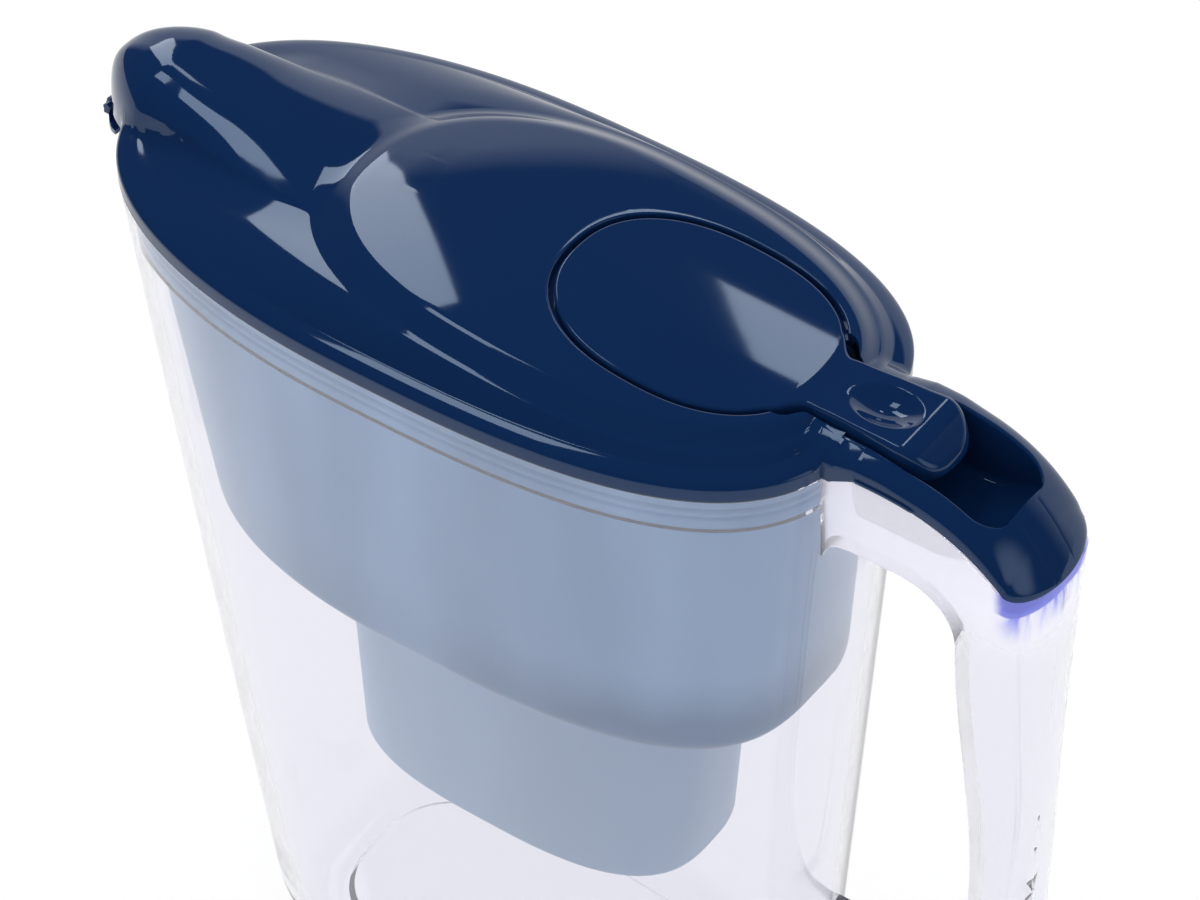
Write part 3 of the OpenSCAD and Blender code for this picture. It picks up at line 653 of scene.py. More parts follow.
class PITCHER_OT_jug(Operator):
    """Clear jug with its lip and its hollow handle, one moulding"""
    bl_idname = "pitcher.jug"
    bl_label = "Jug and handle"

    MIDDLE = 20
    FOOT_CURVE, FOOT_RECESS = 14.0, 2.4
    LIP_DEEP, LIP_HALF, LIP_DIP = 42, 17, 2.5
    LEDGE = -11

    # the finger gap, seen from the side
    GAP_TOP, GAP_LOW, GAP_KNEE, GAP_CURVE = -20.0, -176.0, -118.0, 15.0
    GAP_BACK_TOP, GAP_BACK_LOW = 142.5, 150.2
    ARCH_X, ARCH_CURVE, ROOT_X = 113.5, 7, 88
    # the outside of the handle, and its seat under the tail
    BACK, BACK_TOP, BACK_LOW, BACK_CURVE = 161.8, -13.9, -198.0, 24.0
    SEAT_END, SEAT_LOW, SEAT_GAP = 127.6, -28, 0.3

    def ring(self, z, d, lip=0):
        """The wall at a height, d inside its face and drawn out into the pouring lip near the rim."""
        up = ease((z + self.LIP_DEEP) / self.LIP_DEEP)
        points = []
        for x, y in plan(inset(jug_outline(z), d)):
            share = 0
            if abs(y) < self.LIP_HALF and x < 0:
                share = cos(pi / 2 * y / self.LIP_HALF) ** 2
            dip = self.LIP_DIP * share if z > -0.01 else 0
            points.append((x - lip * share * up, y, z - dip))
        return points

    def vessel(self, props):
        r, floor, deep = self.FOOT_CURVE, -JUG_HEIGHT, self.LIP_DEEP
        inner, lip, recess = r - props.wall, props.lip_reach, floor + self.FOOT_RECESS
        rings = [pole(self.MIDDLE, 0, recess), lay(inset(FOOT, r + 3.5), recess),
                 lay(inset(FOOT, r + 2), floor), lay(inset(FOOT, r - 3), floor)]
        for a in quarter(12, 1):
            rings.append(self.ring(floor + r * (1 - cos(a)), max(0, (r - 3) * (1 - sin(a)))))
        wall = [(floor + r + (JUG_HEIGHT - r - deep - 2) * i / 14, 0) for i in range(1, 15)]
        wall += [(-deep + deep * i / 16, 0) for i in range(17)]
        wall += [(0, props.rim_wall), (self.LEDGE, props.rim_wall), (self.LEDGE, props.wall)]
        wall += [(self.LEDGE - (deep + self.LEDGE) * i / 10, props.wall) for i in range(1, 11)]
        wall += [(-deep - (JUG_HEIGHT - r - deep) * i / 12, props.wall) for i in range(1, 13)]
        rings += [self.ring(z, d, lip) for z, d in wall]
        rings += [self.ring(floor + props.wall + up, props.wall + run) for run, up in bend(inner, 9, 1)]
        rings.append(pole(self.MIDDLE, 0, floor + 3.2))
        return loft("jug", rings)

    def low_corner(self, x, z, r):
        """The rounding from an upright at x down to a level run at z."""
        return [(x - r + r * cos(a), z + r - r * sin(a)) for a in quarter(12, 1)]

    def gap_side(self):
        """The finger gap's outline, from the jug's wall at the top round to the wall at the bottom."""
        top, low, knee, r = self.GAP_TOP, self.GAP_LOW, self.GAP_KNEE, self.GAP_CURVE
        back_top, back_low, arch = self.GAP_BACK_TOP, self.GAP_BACK_LOW, self.ARCH_CURVE
        points = [(x, top - arch + sqrt(arch ** 2 - min(arch ** 2, max(0, self.ARCH_X - x) ** 2)))
                  for x in (102, 106.51, 106.7, 107.4, 108.6, 110.4, 113.5, 120)]
        points += [(back_top - r + r * sin(a), top - r + r * cos(a)) for a in quarter(12)]
        points += [(mix(back_top, back_low, ease(s)), mix(top - r, knee, s)) for s in shares(14)[:-1]]
        points += [(back_low, mix(knee, low + r, s)) for s in shares(6, 0)]
        points += self.low_corner(back_low, low, r)
        return points + [(mix(back_low - r, self.ROOT_X, s), low) for s in shares(6)]

    def seat(self, x):
        """The place where a section ends under the tail's edge."""
        return (x, tail_edge(max(x, TAIL_START)) - self.SEAT_GAP)

    def back_side(self, inner):
        """The outer end of each section: under the tail, down the back, round the lower root."""
        r, back, top, low = self.BACK_CURVE, self.BACK, self.BACK_TOP, self.BACK_LOW
        seats = [self.seat(x) for x, z in inner if z > self.SEAT_LOW and x < self.SEAT_END]
        route = [seats[-1]] + [self.seat(mix(seats[-1][0], back, s)) for s in shares(20)[:-1]]
        route += [(back, mix(top, low + r, s)) for s in shares(16, 0)] + self.low_corner(back, low, r)
        lengths = [0.0]
        for p, q in zip(route, route[1:]):
            lengths.append(lengths[-1] + dist(p, q))
        foot = [(min(x, back - r), low) for x, z in inner[-7:]]
        count = len(inner) - len(seats) - len(foot)
        spread = []
        for k in range(count):
            goal = lengths[-1] * (k + 1) / (count + 1)
            j = max(i for i, length in enumerate(lengths) if length <= goal)
            share = (goal - lengths[j]) / (lengths[j + 1] - lengths[j])
            spread.append(tuple(mix(a, b, share) for a, b in zip(route[j], route[j + 1])))
        return seats + spread + foot

    def half_width(self, x, z, d):
        """Half the handle's width at a place, d inside its face; the back is rounded from a corner on."""
        half = mix(12.4, 17.4, clamp((z + 110) / 102) ** 2.5) - d
        corner = mix(157.5, 155.3, clamp((z + 110) / 98))
        if x <= corner:
            return half
        return half * sqrt(max(0, 1 - ((x - corner) / (self.BACK - corner - d)) ** 2))

    def handle(self, name, web, side, top_open):
        """A loft of sections across the handle; web and side move its faces inwards for the hollow."""
        inner = self.gap_side()
        rings = []
        for a, b in zip(inner, self.back_side(inner)):
            gap = dist(a, b)
            ux, uz = (b[0] - a[0]) / gap, (b[1] - a[1]) / gap
            tail = -3 if top_open and b[1] > -14 and b[0] < 158 else side
            a, b = (a[0] + ux * web, a[1] + uz * web), (b[0] - ux * tail, b[1] - uz * tail)
            near = []
            for s in shares(26, 0):
                f = 1 - (1 - s) ** 1.9
                x, z = mix(a[0], b[0], f), mix(a[1], b[1], f)
                near.append((x, self.half_width(x, z, side), z))
            rings.append([(x, -y, z) for x, y, z in near] + near[::-1])
        count = len(rings[0])
        return loft(name, [pole(*centroid(rings[0]), count)] + rings + [pole(*centroid(rings[-1]), count)])

    def execute(self, context):
        props = context.scene.pitcher_jug
        jug = self.vessel(props)
        outer = self.handle("handle", 0, 0, False)
        hollow = self.handle("hollow", props.handle_web, props.handle_side, True)
        keep = loft("jug_space", [pole(self.MIDDLE, 0, -JUG_HEIGHT + 3)] +
                    [self.ring(z, 1.0) for z in (-JUG_HEIGHT + 14, -118, 0, 0)] + [pole(self.MIDDLE, 0, 20)])
        boolean(outer, hollow, "DIFFERENCE")
        boolean(outer, keep, "DIFFERENCE")
        boolean(jug, outer, "UNION")
        smooth(jug, 35)
        dress(jug, clear_san(props.tint), "jug", "clear_plastic", "jug_body", "jug_handle")
        return {"FINISHED"}


class PITCHER_OT_hopper(Operator):
    """Milky hopper with its collar and the cup for the cartridge, one moulding"""
    bl_idname = "pitcher.hopper"
    bl_label = "Hopper and cup"

    CUP_X = 17.3
    TOP = (0, 94, 99.3, 47.4, 2.27, 2.8)
    LOW = (0, 78.5, 95.3, 43.7, 2.2, 2.88)
    CUP_TOP = (CUP_X, 56, 56, 30, 2.5, 2.5)
    CUP_LOW = (CUP_X, 51, 51, 28.2, 2.88, 2.88)
    FLOOR, BOTTOM, COLLAR = -97.0, -165.0, -10.7
    CURVE, CUP_CURVE = 7.0, 3
    COLLAR_GAP = 2.3
    # height and depth of the grooves round the collar, as shares of the groove's size
    GROOVES = ((-10.65, 0.5), (-10.4, 0.15), (-10, 0), (-7.9, 0), (-7.5, 0.3), (-7.2, 1), (-6.4, 1),
               (-6.1, 0.4), (-5.7, 0), (-5.2, 0), (-4.8, 0.4), (-4.5, 1), (-3.2, 1), (-1, 0.8), (-0.5, 1))
    # height and inset of the cup's wall, with the bead under its rim
    CUP_WALL = ((-145, 0), (-125, 0), (-108.4, 0), (-108, -1.7), (-107.5, -2), (-104, -2), (-103.5, -1.7),
                (-103, 0))

    def basket(self, z):
        return mix_outline(self.LOW, self.TOP, (z - self.FLOOR) / (self.COLLAR - self.FLOOR))

    def cup(self, z):
        return mix_outline(self.CUP_LOW, self.CUP_TOP, (z - self.BOTTOM) / (self.FLOOR - self.BOTTOM))

    def lower_rounding(self, outline_at, low, r, steps):
        return [wall_ring(outline_at, low + r - r * cos(a), r - r * sin(a)) for a in quarter(steps)]

    def execute(self, context):
        props = context.scene.pitcher_hopper
        w, r, floor, bottom, gap = props.wall, self.CURVE, self.FLOOR, self.BOTTOM, self.COLLAR_GAP
        rings = [pole(self.CUP_X, 0, bottom), lay(inset(self.CUP_LOW, 16), bottom)]
        rings += self.lower_rounding(self.cup, bottom, self.CUP_CURVE, 6)
        rings += [wall_ring(self.cup, z, d) for z, d in self.CUP_WALL] + [lay(self.CUP_TOP, floor)]
        rings += self.lower_rounding(self.basket, floor, r, 8)
        rings += [wall_ring(self.basket, z) for z in (-75, -60, -45, -30, -18, -12.5, self.COLLAR - 0.01)]
        rings += [wall_ring(jug_outline, z, gap + props.groove * d) for z, d in self.GROOVES]
        rings += [wall_ring(jug_outline, z, gap + 2) for z in (-0.4, -8.3)]
        rings.append(lay(inset(self.TOP, w), self.COLLAR + 1.2))
        rings += [wall_ring(self.basket, z, w) for z in (-30, -60, -80)]
        for run, up in bend(1, 6):
            outline = inset(self.basket(floor + w + r * up), w + r * run)
            rings.append(lay(outline, floor + w + (r - 1.4) * up))
        rings += [lay(inset(self.CUP_TOP, w), floor + w), wall_ring(self.cup, -130, w),
                  lay(inset(self.CUP_LOW, w), bottom + 4), lay(inset(self.CUP_LOW, w + 3), bottom + w),
                  pole(self.CUP_X, 0, bottom + w)]
        hopper = loft("hopper_moulding", rings)
        milky = milky_polypropylene(props.body, props.deep)
        dress(hopper, milky, "hopper", "hopper_plastic", "hopper", "filter_cup")
        return {"FINISHED"}


class PITCHER_OT_lid(Operator):
    """Gloss lid with its hood, island and tail"""
    bl_idname = "pitcher.lid"
    bl_label = "Lid"

    EDGE_LOW = 0.3
    EDGE_INSET, ROLL_END = 4.6, radians(62)
    # where the hood ends and the tail begins; the fillet's share on the island, and its size elsewhere in mm
    HOOD_END, TAIL_FROM = -20, 90
    ISLAND_FILLET, NOSE_FILLET, TAIL_FILLET = 0.5, 0.6, 2.2
    UNDER_NOSE_X, PLATE = -98, 2
    SKIRT_IN, SKIRT_WALL, SKIRT_LOW = 4.7, 1.9, -5.7
    # inset and drop of the seat round the fill flap, from the lid's top over the ledge to its underside
    SEAT = ((-0.2, 0.06), (-0.05, 0.2), (0, 0.5), (0, 2.5), (2.4, 2.5), (2.4, 4.0), (-0.4, 4.0), (-1.4, 2))

    # the tail's rail, the hollow under it, and half the plan of the slot for the flap's neck
    RAIL_START, RAIL_END, RAIL = 115, 131.6, 0.5
    UNDER_HALF = 13.0
    SLOT_NECK = SLOT_WAIST + 0.06
    SLOT = ((84, 13.2), (91.4, 16.2), (93.4, 15.9), (95.2, 14.6), (96.4, 12.9), (97.6, 11.5),
            (99.4, SLOT_NECK), (112, SLOT_NECK))

    def outer_plan(self):
        """The rim's outline, drawn out softly into the hood's nose."""
        points = []
        for x, y in plan(RIM):
            if x < 0 and abs(y) < HOOD_HALF:
                nose = HOOD_X - (HOOD_X - HOOD_TIP) * nose_arc(abs(y) / HOOD_HALF, NOSE_POWER)
                x = -soft_max(-x, -nose, 2.0)
            points.append((x, y))
        return points

    def surface(self, x, y, z, fillet):
        """The lid's height at a place, with the hood and the tail blended in."""
        if x < self.HOOD_END:
            fillet *= mix(1, self.ISLAND_FILLET, ease((x + 60) / 16))
            z = with_hood(x, y, z, mix(fillet, self.NOSE_FILLET, clamp((BELL_START - x) / 6)))
        if x > self.TAIL_FROM:
            z = soft_max(z, tail_dome(x, y) - 3 * max(0, 100 - x), self.TAIL_FILLET)
        return z

    def base(self, x):
        """The height of the lid's lower edge, which dips under the nose."""
        if x > self.UNDER_NOSE_X:
            return self.EDGE_LOW
        return mix(self.EDGE_LOW, NOSE_LOW, ease((self.UNDER_NOSE_X - x) / 16))

    def fade(self, x, z):
        """Lets the rim's own profile die out under the nose."""
        return mix(z, -6, ease((-98.5 - x) / 5))

    def edge_rings(self, props, rim):
        """The upright edge and the soft shoulder, then the field that rises to the foot of the ramp."""
        def lift(points, z):
            return [(x, y, max(self.surface(x, y, self.fade(x, z), props.fillet), self.base(x) + 0.02))
                    for x, y in points]

        rim_in, start = plan(inset(RIM, self.EDGE_INSET)), self.EDGE_LOW + props.edge
        rings = [[(x, y, self.base(x)) for x, y in rim], lift(rim, start)]
        for i in range(1, 17):
            a = self.ROLL_END * i / 16
            run = (1 - cos(a)) / (1 - cos(self.ROLL_END))
            rings.append(lift(between(rim, rim_in, run), start + props.shoulder * sin(a)))
        low_end = start + props.shoulder * sin(self.ROLL_END)
        island = plan(ISLAND)
        for s in shares(44):
            climb, ring = 1.105 * s - 0.656 * max(0, s - 0.6) ** 2, []
            for p, q in zip(rim_in, island):
                x, y = mix(p[0], q[0], s), mix(p[1], q[1], s)
                z = mix(low_end, crown(*q) - props.island_rise, climb)
                ring.append((x, y, self.surface(x, y, z, props.fillet)))
            rings.append(ring)
        return rings

    def island_rings(self, props, opening):
        """The ramp, the island's top and the seat round the fill flap."""
        def top(points, drop=0):
            return [(x, y, self.surface(x, y, crown(x, y) - drop, props.fillet)) for x, y in points]

        rings = [top(plan(ramp(s)), props.island_rise * (1 - ease(s))) for s in shares(16)]
        island_top, lip = plan(ramp(1)), plan(inset(opening, -0.55))
        rings += [top(between(island_top, lip, s)) for s in shares(20)]
        for d, drop in self.SEAT:
            rings.append([(x, y, crown(x, y) - drop) for x, y in plan(inset(opening, d))])
        return rings

    def under_rings(self, props, rim, opening):
        """The underside, which follows the hood's roof inside the spout, and the skirt."""
        def hollow(points, height):
            ring = []
            for x, y in points:
                roof = self.surface(x, y, self.fade(x, 5.0), props.fillet) - 2.2
                inside = ease((17 - abs(y)) / 4) * ease((-44 - x) / 6)
                ring.append((x, y, max(mix(height(x, y), roof, inside), self.base(x) + 0.05)))
            return ring

        def plug(o, z, roof=6.0):
            """A ring of the skirt, which is cut away where the water runs out."""
            return [(x, y, mix(z, roof, ease((14 - abs(y)) / 2) if x < 0 else 0)) for x, y in plan(o)]

        start, under = plan(inset(opening, -1.4)), plan(inset(ramp(1), 0.5))
        rings = [hollow(between(start, under, s), lambda x, y: crown(x, y) - self.PLATE) for s in shares(8)]
        near, far = plan(inset(ISLAND, 1.9)), plan(inset(RIM, 6.8))
        rings.append(hollow(near, lambda x, y: crown(x, y) - props.island_rise - 1.8))
        rings += [hollow(between(near, far, s), lambda x, y: mix(7.2, 4.4, s)) for s in shares(20)]
        skirt, wall, low = self.SKIRT_IN, self.SKIRT_WALL, jug_outline(self.SKIRT_LOW)
        rings += [hollow(plan(inset(RIM, skirt + wall)), lambda x, y: 3.6),
                  plug(inset(low, skirt + wall), self.SKIRT_LOW), plug(inset(low, skirt), self.SKIRT_LOW),
                  plug(inset(RIM, skirt), self.EDGE_LOW + 0.02, 6.05)]
        edge = []
        for (x, y), (inner_x, inner_y) in zip(rim, plan(inset(RIM, 2.0))):
            near_tip = clamp((-x - 97) / 8)
            nose_x, nose_y = x + 2.0 * near_tip, y * (1 - 0.12 * near_tip)
            if nose_x < -60 and abs(nose_y) < 17:
                inner_x, inner_y = min(nose_x, inner_x), nose_y
            edge.append((inner_x, inner_y, self.base(inner_x) + 0.03))
        return rings + [edge]

    def main_shell(self, props):
        rim, opening = self.outer_plan(), inset(FLAP, -props.flap_gap)
        rings = self.edge_rings(props, rim) + self.island_rings(props, opening)
        return loft("lid_moulding", rings + self.under_rings(props, rim, opening), loop=True, degrees=40)

    def tail_section(self, x):
        """One closed section of the tail: up one side over the rail and the dome, through the well to the
        other side, and back underneath."""
        w, top = tail_width(x), tail_top(x)
        edge, band = 0.45 if x < 109 else tail_edge(x), tail_band(x)
        foot, rise = edge + band, top - edge - band
        rail = 0.0
        if self.RAIL_START < x < self.RAIL_END:
            rail = self.RAIL * ease(x - self.RAIL_START) * ease(self.RAIL_END - x)
        half = min(slot_half(x), max(w - 0.6, 0))
        is_open = well_floor(x) < NO_WELL

        def dome(y):
            return foot + rise * sqrt(max(0, 1 - (y / w) ** 2)) if w > 1e-6 else top

        floor = min(well_floor(x), dome(half) - 0.02)
        soft = min(0.7 if floor < dome(half) - 1 else 0.02, max(0, w - half) * 0.5)
        near = [(w, edge)]
        if band > 1.2:
            out = w + rail
            near += [(w, edge + 0.1), (out, edge + 0.35), (out, edge + 1.0), (w, edge + 1.25), (w, foot)]
        else:
            near += [(w, edge + band * s) for s in (0.1, 0.3, 0.5, 0.8, 1.0)]
        first = acos(clamp((half + soft) / w)) if w > 1e-6 else pi / 2
        near += [(w * cos(a), foot + rise * sin(a)) for a in [first * i / 16 for i in range(1, 17)]]
        near += [(half + run, dome(half + soft) - down) for down, run in bend(soft, 6, 1)]
        wall_top = near[-1][1]
        floor = min(floor, wall_top)
        corner = min(1.6, (wall_top - floor) * 0.5, half)
        near += [(half, mix(wall_top, floor + corner, s)) for s in shares(4)]
        near += [(half - run, floor + up) for run, up in bend(corner, 5, 1)]
        near += [(y, floor if is_open else dome(y)) for y in [(half - corner) * (1 - s) for s in shares(5)]]
        depth = min(floor, edge) - 2 if is_open else edge
        under_half = min(self.UNDER_HALF, max(0, w - 1.5))
        under = [(0, depth), (under_half * 0.5, depth), (under_half, depth), (under_half, edge)]
        loop = [(x, y, z) for y, z in near] + [(x, -y, z) for y, z in reversed(near[:-1])]
        return loop + [(x, -y, z) for y, z in reversed(under[1:])] + [(x, y, z) for y, z in under]

    def tail(self):
        # places of the sections, as (first, step, count); they crowd where the form turns
        runs = ((98.3, 0.7, 18), (111.4, 0.35, 10), (115, 0.5, 4), (117, 1, 14), (133, 1, 14), (150, 0.8, 5))
        places = {start + i * step for start, step, count in runs for i in range(count)}
        places |= {131.2, 131.6, 132, 146.6, 147.2, 147.8, 148.3, 148.7, 149.0, 149.19, 149.21, 149.6}
        places |= {TIP_START + (TAIL_REACH - TIP_START) * sin(a) for a in quarter(32)}
        rings = [self.tail_section(x) for x in sorted(places)]
        count = len(rings[0])
        tip = pole(TAIL_REACH, 0, tail_edge(TAIL_REACH), count)
        return loft("tail", [pole(98.3, 0, 1.0, count)] + rings + [tip], degrees=40)

    def execute(self, context):
        props = context.scene.pitcher_lid
        lid = self.main_shell(props)
        outline = list(self.SLOT) + [(x, -y) for x, y in reversed(self.SLOT)]
        boolean(lid, prism("slot", outline, 1.6, 40), "DIFFERENCE")
        smooth(lid, 40)
        lid = join(lid, self.tail())
        navy = gloss_navy_abs(props.navy)
        dress(lid, navy, "lid", "lid_plastic", "lid_shell", "lid_skirt", "lid_tail")
        return {"FINISHED"}


class PITCHER_OT_fill_flap(Operator):
    """Fill flap that runs through its neck into the thumb lever"""
    bl_idname = "pitcher.fill_flap"
    bl_label = "Fill flap"

    PLATE, THINNEST = 2.2, 1.2
    NECK_START, NECK_END, NECK_HALF, LEVER_END = 97.2, 103, 9.6, 131.4
    LEVER_TOP, LEVER_BEND = 12.7, 124.6
    DIMPLE = (112.2, 9.3, 6.7)
    # underside of the neck and the lever, as (x, height)
    LEVER_LOW = ((90, 9.8), (94, 6.6), (97.5, 3.6), (100.5, 3.5), (104, 7.0), (112, 8.0), (122, 6.0),
                 (129, 4.4), (132, 4.6))
    EDGE_CURVE = 0.8
    AXLE_RADIUS, AXLE_LENGTH, AXLE_PLACE = 0.0018, 0.0252, (99, 0, 6.6)

    def outline(self):
        """Half the plan, from the front of the plate to the end of the lever."""
        neck = self.NECK_HALF
        points = [on_outline(FLAP, pi * (1 - i / 60 * 0.815)) for i in range(61)]
        last = points[-1]
        points += [(mix(last[0], self.NECK_START, s), mix(last[1], neck, ease(s) ** 0.8)) for s in shares(8)]
        points += [(x, neck) for x in (98.5, 100, 101.5, self.NECK_END)]
        points += [(self.NECK_END + i / 2, neck + 1.9 * (i / 44) ** 1.3) for i in range(1, 37)]
        start, half = points[-1]
        for a in quarter(30, 1)[:-1]:
            points.append((start + 10.4 * sin(a) ** 0.9, half * cos(a) ** 0.72))
        return points + [(self.LEVER_END, 0)]

    def spine(self, x):
        return clamp(x, 52, 126)

    def towards_spine(self, x, y, s):
        return mix(x, self.spine(x), s), y * (1 - s)

    def softness(self, x):
        """How many times the edge's curve is rounded: more where the shoulders swing past the lid, and on
        the lever."""
        return 1 + ease((x - 108) / 14) + 1.1 * exp(-((x - 94) / 3.4) ** 2)

    def edge_share(self, x, y, k):
        """The share of the way to the spine that lies k millimetres inside the outline."""
        return min(k * self.softness(x) / max(hypot(x - self.spine(x), y), 1e-6), 0.5)

    def top(self, x, y, dimple=0):
        crease = 93.5 - 0.012 * y * y
        if x < crease:
            return crown(x, y)
        along = mix(crown(crease, y), self.LEVER_TOP, (x - crease) / (self.LEVER_BEND - crease))
        along = -soft_max(-along, 0.93 * (x - self.LEVER_BEND) - self.LEVER_TOP, 2.6)
        middle, long, wide = self.DIMPLE
        r = hypot((x - middle) / long, y / wide)
        if r < 1:
            along -= dimple * (1 - r * r) ** 1.15
        return along

    def underside(self, x, y):
        plate = self.top(x, y) - self.PLATE
        stops = self.LEVER_LOW
        if x < stops[0][0]:
            return plate
        (x0, z0), (x1, z1) = next(pair for pair in zip(stops, stops[1:]) if x <= pair[1][0])
        return mix(plate, mix(z0, z1, (x - x0) / (x1 - x0)), ease((x - stops[0][0]) / 4))

    def execute(self, context):
        dimple = context.scene.pitcher_lid.dimple_depth
        half = self.outline()
        outer = half + [(x, -y) for x, y in reversed(half[1:-1])]

        def under(s, sink=0.0):
            ring = []
            for x, y in [self.towards_spine(*place, s) for place in outer]:
                ring.append((x, y, min(self.underside(x, y), self.top(x, y) - self.THINNEST) + sink))
            return ring

        def edge(k, drop):
            ring = []
            for x, y in outer:
                px, py = self.towards_spine(x, y, self.edge_share(x, y, k))
                ring.append((px, py, self.top(px, py, dimple) - drop * self.softness(x)))
            return ring

        def upper(share):
            ring = []
            for x, y in outer:
                start = self.edge_share(x, y, self.EDGE_CURVE)
                px, py = self.towards_spine(x, y, mix(start, 0.985, share))
                ring.append((px, py, self.top(px, py, dimple)))
            return ring

        # both skins close along the spine
        spine, r = [self.spine(x) for x, y in outer], self.EDGE_CURVE
        rings = [[(x, 0.0, self.underside(x, 0)) for x in spine]]
        rings += [under(0.98), under(0.6), under(0.2), under(0.03), under(0.0, 0.3)]
        rings += [edge(run, drop) for run, drop in bend(r, 6)]
        rings += [upper(s ** 1.3) for s in shares(30)]
        rings.append([(x, 0.0, self.top(x, 0, dimple)) for x in spine])
        navy = bpy.data.materials["moulded_abs_navy"]
        dress(loft("flap_moulding", rings, degrees=40), navy, "fill_flap", "flap_plastic", "fill_flap")
        deselect()
        bpy.ops.mesh.primitive_cylinder_add(
            vertices=48, radius=self.AXLE_RADIUS, depth=self.AXLE_LENGTH, location=world(*self.AXLE_PLACE),
            rotation=(pi / 2, 0, 0))
        axle = bpy.context.object
        axle.name = "flap_axle"
        bpy.ops.object.transform_apply(location=True, rotation=True, scale=True)
        smooth(axle)
        dress(axle, navy, "fill_flap", "flap_plastic")
        return {"FINISHED"}


class PITCHER_OT_cartridge(Operator):
    """Finishes of the cartridge, its screens and its granules, and of the spout flap"""
    bl_idname = "pitcher.cartridge"
    bl_label = "Cartridge and spout flap"

    def execute(self, context):
        white = satin_moulding("moulded_pp_white", "#E4E8EC")
        rubber = satin_moulding("moulded_rubber_grey", "#44484E")
        felt = granule_bed("needled_felt", "#D2D4D6", 1.2)
        grains = granule_bed("carbon_granules", "#2A2A2C", 1.0)
        finishes = {"cartridge_shell": white, "cartridge_cap": white, "cartridge_grid": white,
                    "cartridge_seal": rubber, "upper_screen": felt, "lower_screen": felt,
                    "filter_media": grains, "spout_flap": bpy.data.materials["moulded_abs_navy"]}
        for node, finish in finishes.items():
            for slot in NODES[node].material_slots:
                slot.material = finish
        return {"FINISHED"}


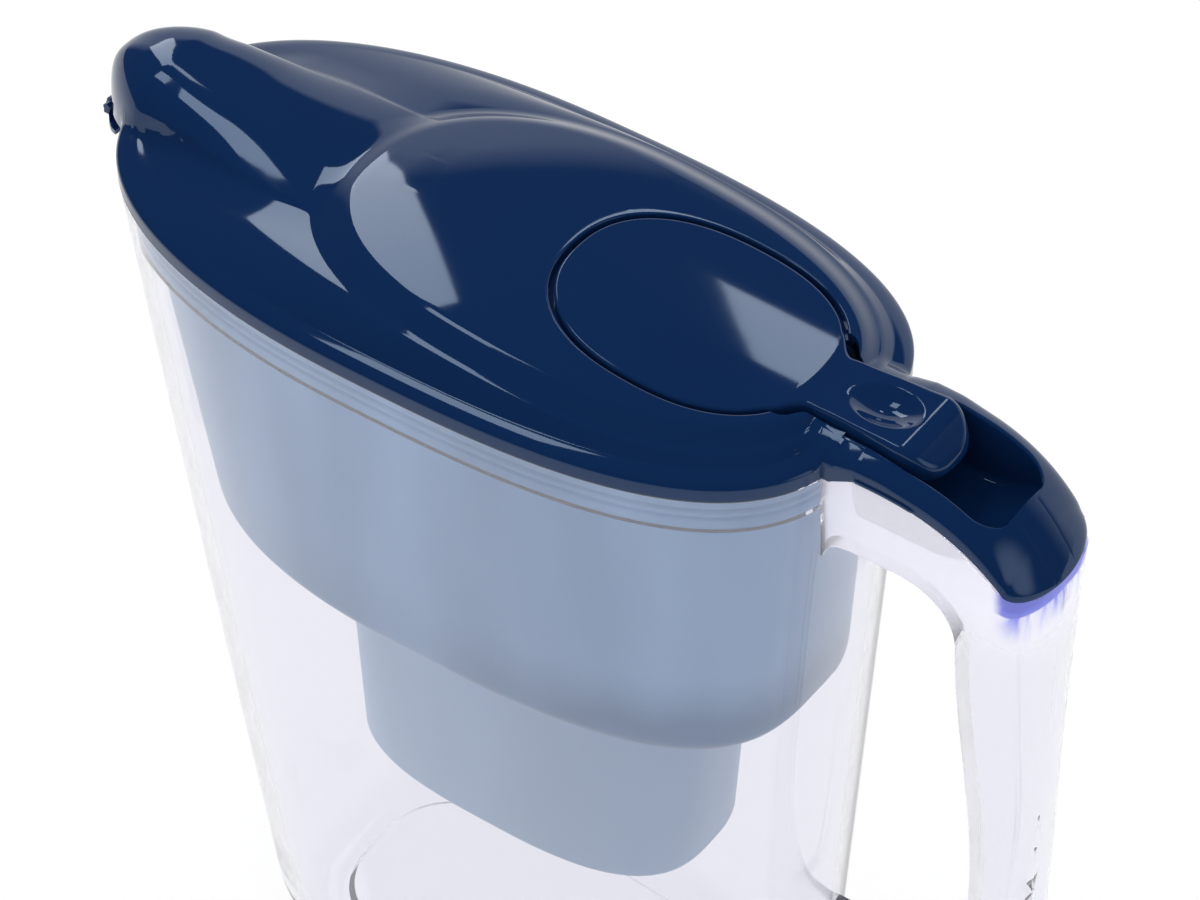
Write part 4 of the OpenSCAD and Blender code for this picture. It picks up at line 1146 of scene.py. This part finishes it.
class PITCHER_OT_stage(Operator):
    """Camera, pale floor and soft studio lamps"""
    bl_idname = "pitcher.stage"
    bl_label = "Stage"

    TARGET = (60.7, -38.95, 0)
    LAMP_TARGET, LAMP_DISTANCE = (20, 0, 10), 1.6
    # azimuth and elevation from the lid, degrees filled across and up, and glow
    LAMPS = {"window": (142.5, 40.5, 9, 25, 5), "strip": (171, 65.5, 13, 12, 5), "card": (110, 46, 4.6, 7, 5)}
    WHITE = (1, 1, 1, 1)
    PAPER, PAPER_GLOW, PAPER_SHARE = (0.9, 0.9, 0.9, 1), 1.08, 0.8
    # directions in which gloss sees a low pale wall, and a bright corner
    WALL_SIDE, WALL_GLOW, CORNER = (-0.17, 0.985, 0), 0.95, (0.944, 0.116, 0.309)

    def aim(self, obj, target, away, distance):
        """Puts a camera or a lamp at a distance from its target, and turns it there."""
        obj.location = Vector(world(*target)) + away * distance
        obj.rotation_euler = (-away).to_track_quat("-Z", "Y").to_euler()
        bpy.context.scene.collection.objects.link(obj)

    def camera(self, props):
        az, el = radians(props.azimuth), radians(props.elevation)
        away = Vector((sin(az) * cos(el), -cos(az) * cos(el), sin(el)))
        data = bpy.data.cameras.new("camera")
        data.lens, data.sensor_width, data.clip_start = props.lens, 36, 0.05
        cam = bpy.data.objects.new("camera", data)
        self.aim(cam, self.TARGET, away, props.distance / 1000)
        bpy.context.scene.camera = cam

    def lamp(self, name, azimuth, elevation, wide, high, glow):
        """A soft box seen from the lid at an azimuth from the handle's side, and the degrees it fills."""
        az, el = radians(azimuth), radians(elevation)
        away = Vector((cos(az) * cos(el), sin(az) * cos(el), sin(el)))
        data = bpy.data.lights.new(name, "AREA")
        data.shape = "RECTANGLE"
        data.size, data.size_y = (
            2 * self.LAMP_DISTANCE * tan(radians(a / 2)) for a in (wide, high))
        data.energy = glow * pi * data.size * data.size_y
        self.aim(bpy.data.objects.new(name, data), self.LAMP_TARGET, away, self.LAMP_DISTANCE)

    def floor(self):
        deselect()
        bpy.ops.mesh.primitive_plane_add(size=12, location=(0, 0, -0.0005))
        plane = bpy.context.object
        plane.name = "floor"
        bpy.ops.object.transform_apply(location=True, rotation=True, scale=True)
        mat, t = new_material("studio_paper")
        rays = add(t, "LightPath").outputs
        seen = maths(t, "MAXIMUM", rays["Is Camera Ray"], rays["Is Transmission Ray"])
        seen = maths(t, "MAXIMUM", seen, rays["Is Glossy Ray"])
        paper = add(t, "BsdfDiffuse", {"Color": self.PAPER}).outputs[0]
        glow = add(t, "Emission", {"Color": self.WHITE, "Strength": self.PAPER_GLOW}).outputs[0]
        both = mixed(t, maths(t, "MULTIPLY", seen, self.PAPER_SHARE), paper, glow)
        add(t, "OutputMaterial", {"Surface": both})
        plane.data.materials.append(mat)

    def sky(self, props):
        """White to the eye and through the clear plastic, and an even fill for the rest. Gloss sees a dim
        ceiling with a low pale wall on one side and a bright corner behind the handle."""
        world_light = bpy.data.worlds.new("studio")
        bpy.context.scene.world = world_light
        world_light.use_nodes = True
        t = world_light.node_tree
        t.nodes.clear()
        rays = add(t, "LightPath").outputs
        way = add(t, "TexCoord").outputs["Generated"]
        split = add(t, "SeparateXYZ", {"Vector": way})

        def towards(direction):
            return add(t, "VectorMath", {
                "operation": "DOT_PRODUCT", 0: way, 1: direction}).outputs["Value"]

        def background(strength):
            return add(t, "Background", {"Color": self.WHITE, "Strength": strength}).outputs[0]

        low = remap(t, split.outputs["Z"], 0.5, 0.56, 1.0, 0.0)
        lit = maths(t, "MULTIPLY", low, remap(t, towards(self.WALL_SIDE), 0.5, 0.66))
        corner = remap(t, towards(self.CORNER), 0.93, 0.995, 0.06, 1.5, "SMOOTHSTEP")
        gloss = background(maths(t, "MULTIPLY_ADD", lit, self.WALL_GLOW, corner))
        seen = maths(t, "MAXIMUM", rays["Is Camera Ray"], rays["Is Transmission Ray"])
        unseen = mixed(t, rays["Is Glossy Ray"], background(props.fill), gloss)
        add(t, "OutputWorld", {"Surface": mixed(t, seen, unseen, background(1.0))})

    def execute(self, context):
        props = context.scene.pitcher_stage
        self.camera(props)
        self.floor()
        self.sky(props)
        for name, box in self.LAMPS.items():
            self.lamp(name, *box)
        context.scene.view_settings.view_transform = "Standard"
        return {"FINISHED"}


class PITCHER_PT_panel(Panel):
    """Lists the pitcher's pieces in the sidebar"""
    bl_label = "Water Filter Pitcher"
    bl_idname = "PITCHER_PT_panel"
    bl_space_type = "VIEW_3D"
    bl_region_type = "UI"
    bl_category = "Pitcher"

    def draw(self, context):
        layout = self.layout
        for group in ("jug", "hopper", "lid", "stage"):
            box = layout.box()
            box.label(text=group.capitalize())
            props = getattr(context.scene, "pitcher_" + group)
            for name in props.__annotations__:
                box.prop(props, name)
        for operator in OPERATORS:
            layout.operator(operator.bl_idname)


GROUPS = {"jug": PITCHER_PG_jug, "hopper": PITCHER_PG_hopper, "lid": PITCHER_PG_lid,
          "stage": PITCHER_PG_stage}
OPERATORS = [PITCHER_OT_stage, PITCHER_OT_jug, PITCHER_OT_hopper, PITCHER_OT_lid, PITCHER_OT_fill_flap,
             PITCHER_OT_cartridge]


def register():
    for cls in [*GROUPS.values(), *OPERATORS, PITCHER_PT_panel]:
        bpy.utils.register_class(cls)
    for name, cls in GROUPS.items():
        setattr(bpy.types.Scene, "pitcher_" + name, PointerProperty(type=cls))


def unregister():
    for name in GROUPS:
        delattr(bpy.types.Scene, "pitcher_" + name)
    for cls in [PITCHER_PT_panel, *OPERATORS, *reversed(GROUPS.values())]:
        bpy.utils.unregister_class(cls)


def main():
    register()
    bpy.ops.pitcher.stage()
    bpy.ops.pitcher.jug()
    bpy.ops.pitcher.hopper()
    bpy.ops.pitcher.lid()
    bpy.ops.pitcher.fill_flap()
    bpy.ops.pitcher.cartridge()
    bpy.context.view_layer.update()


if __name__ == "__main__":
    main()
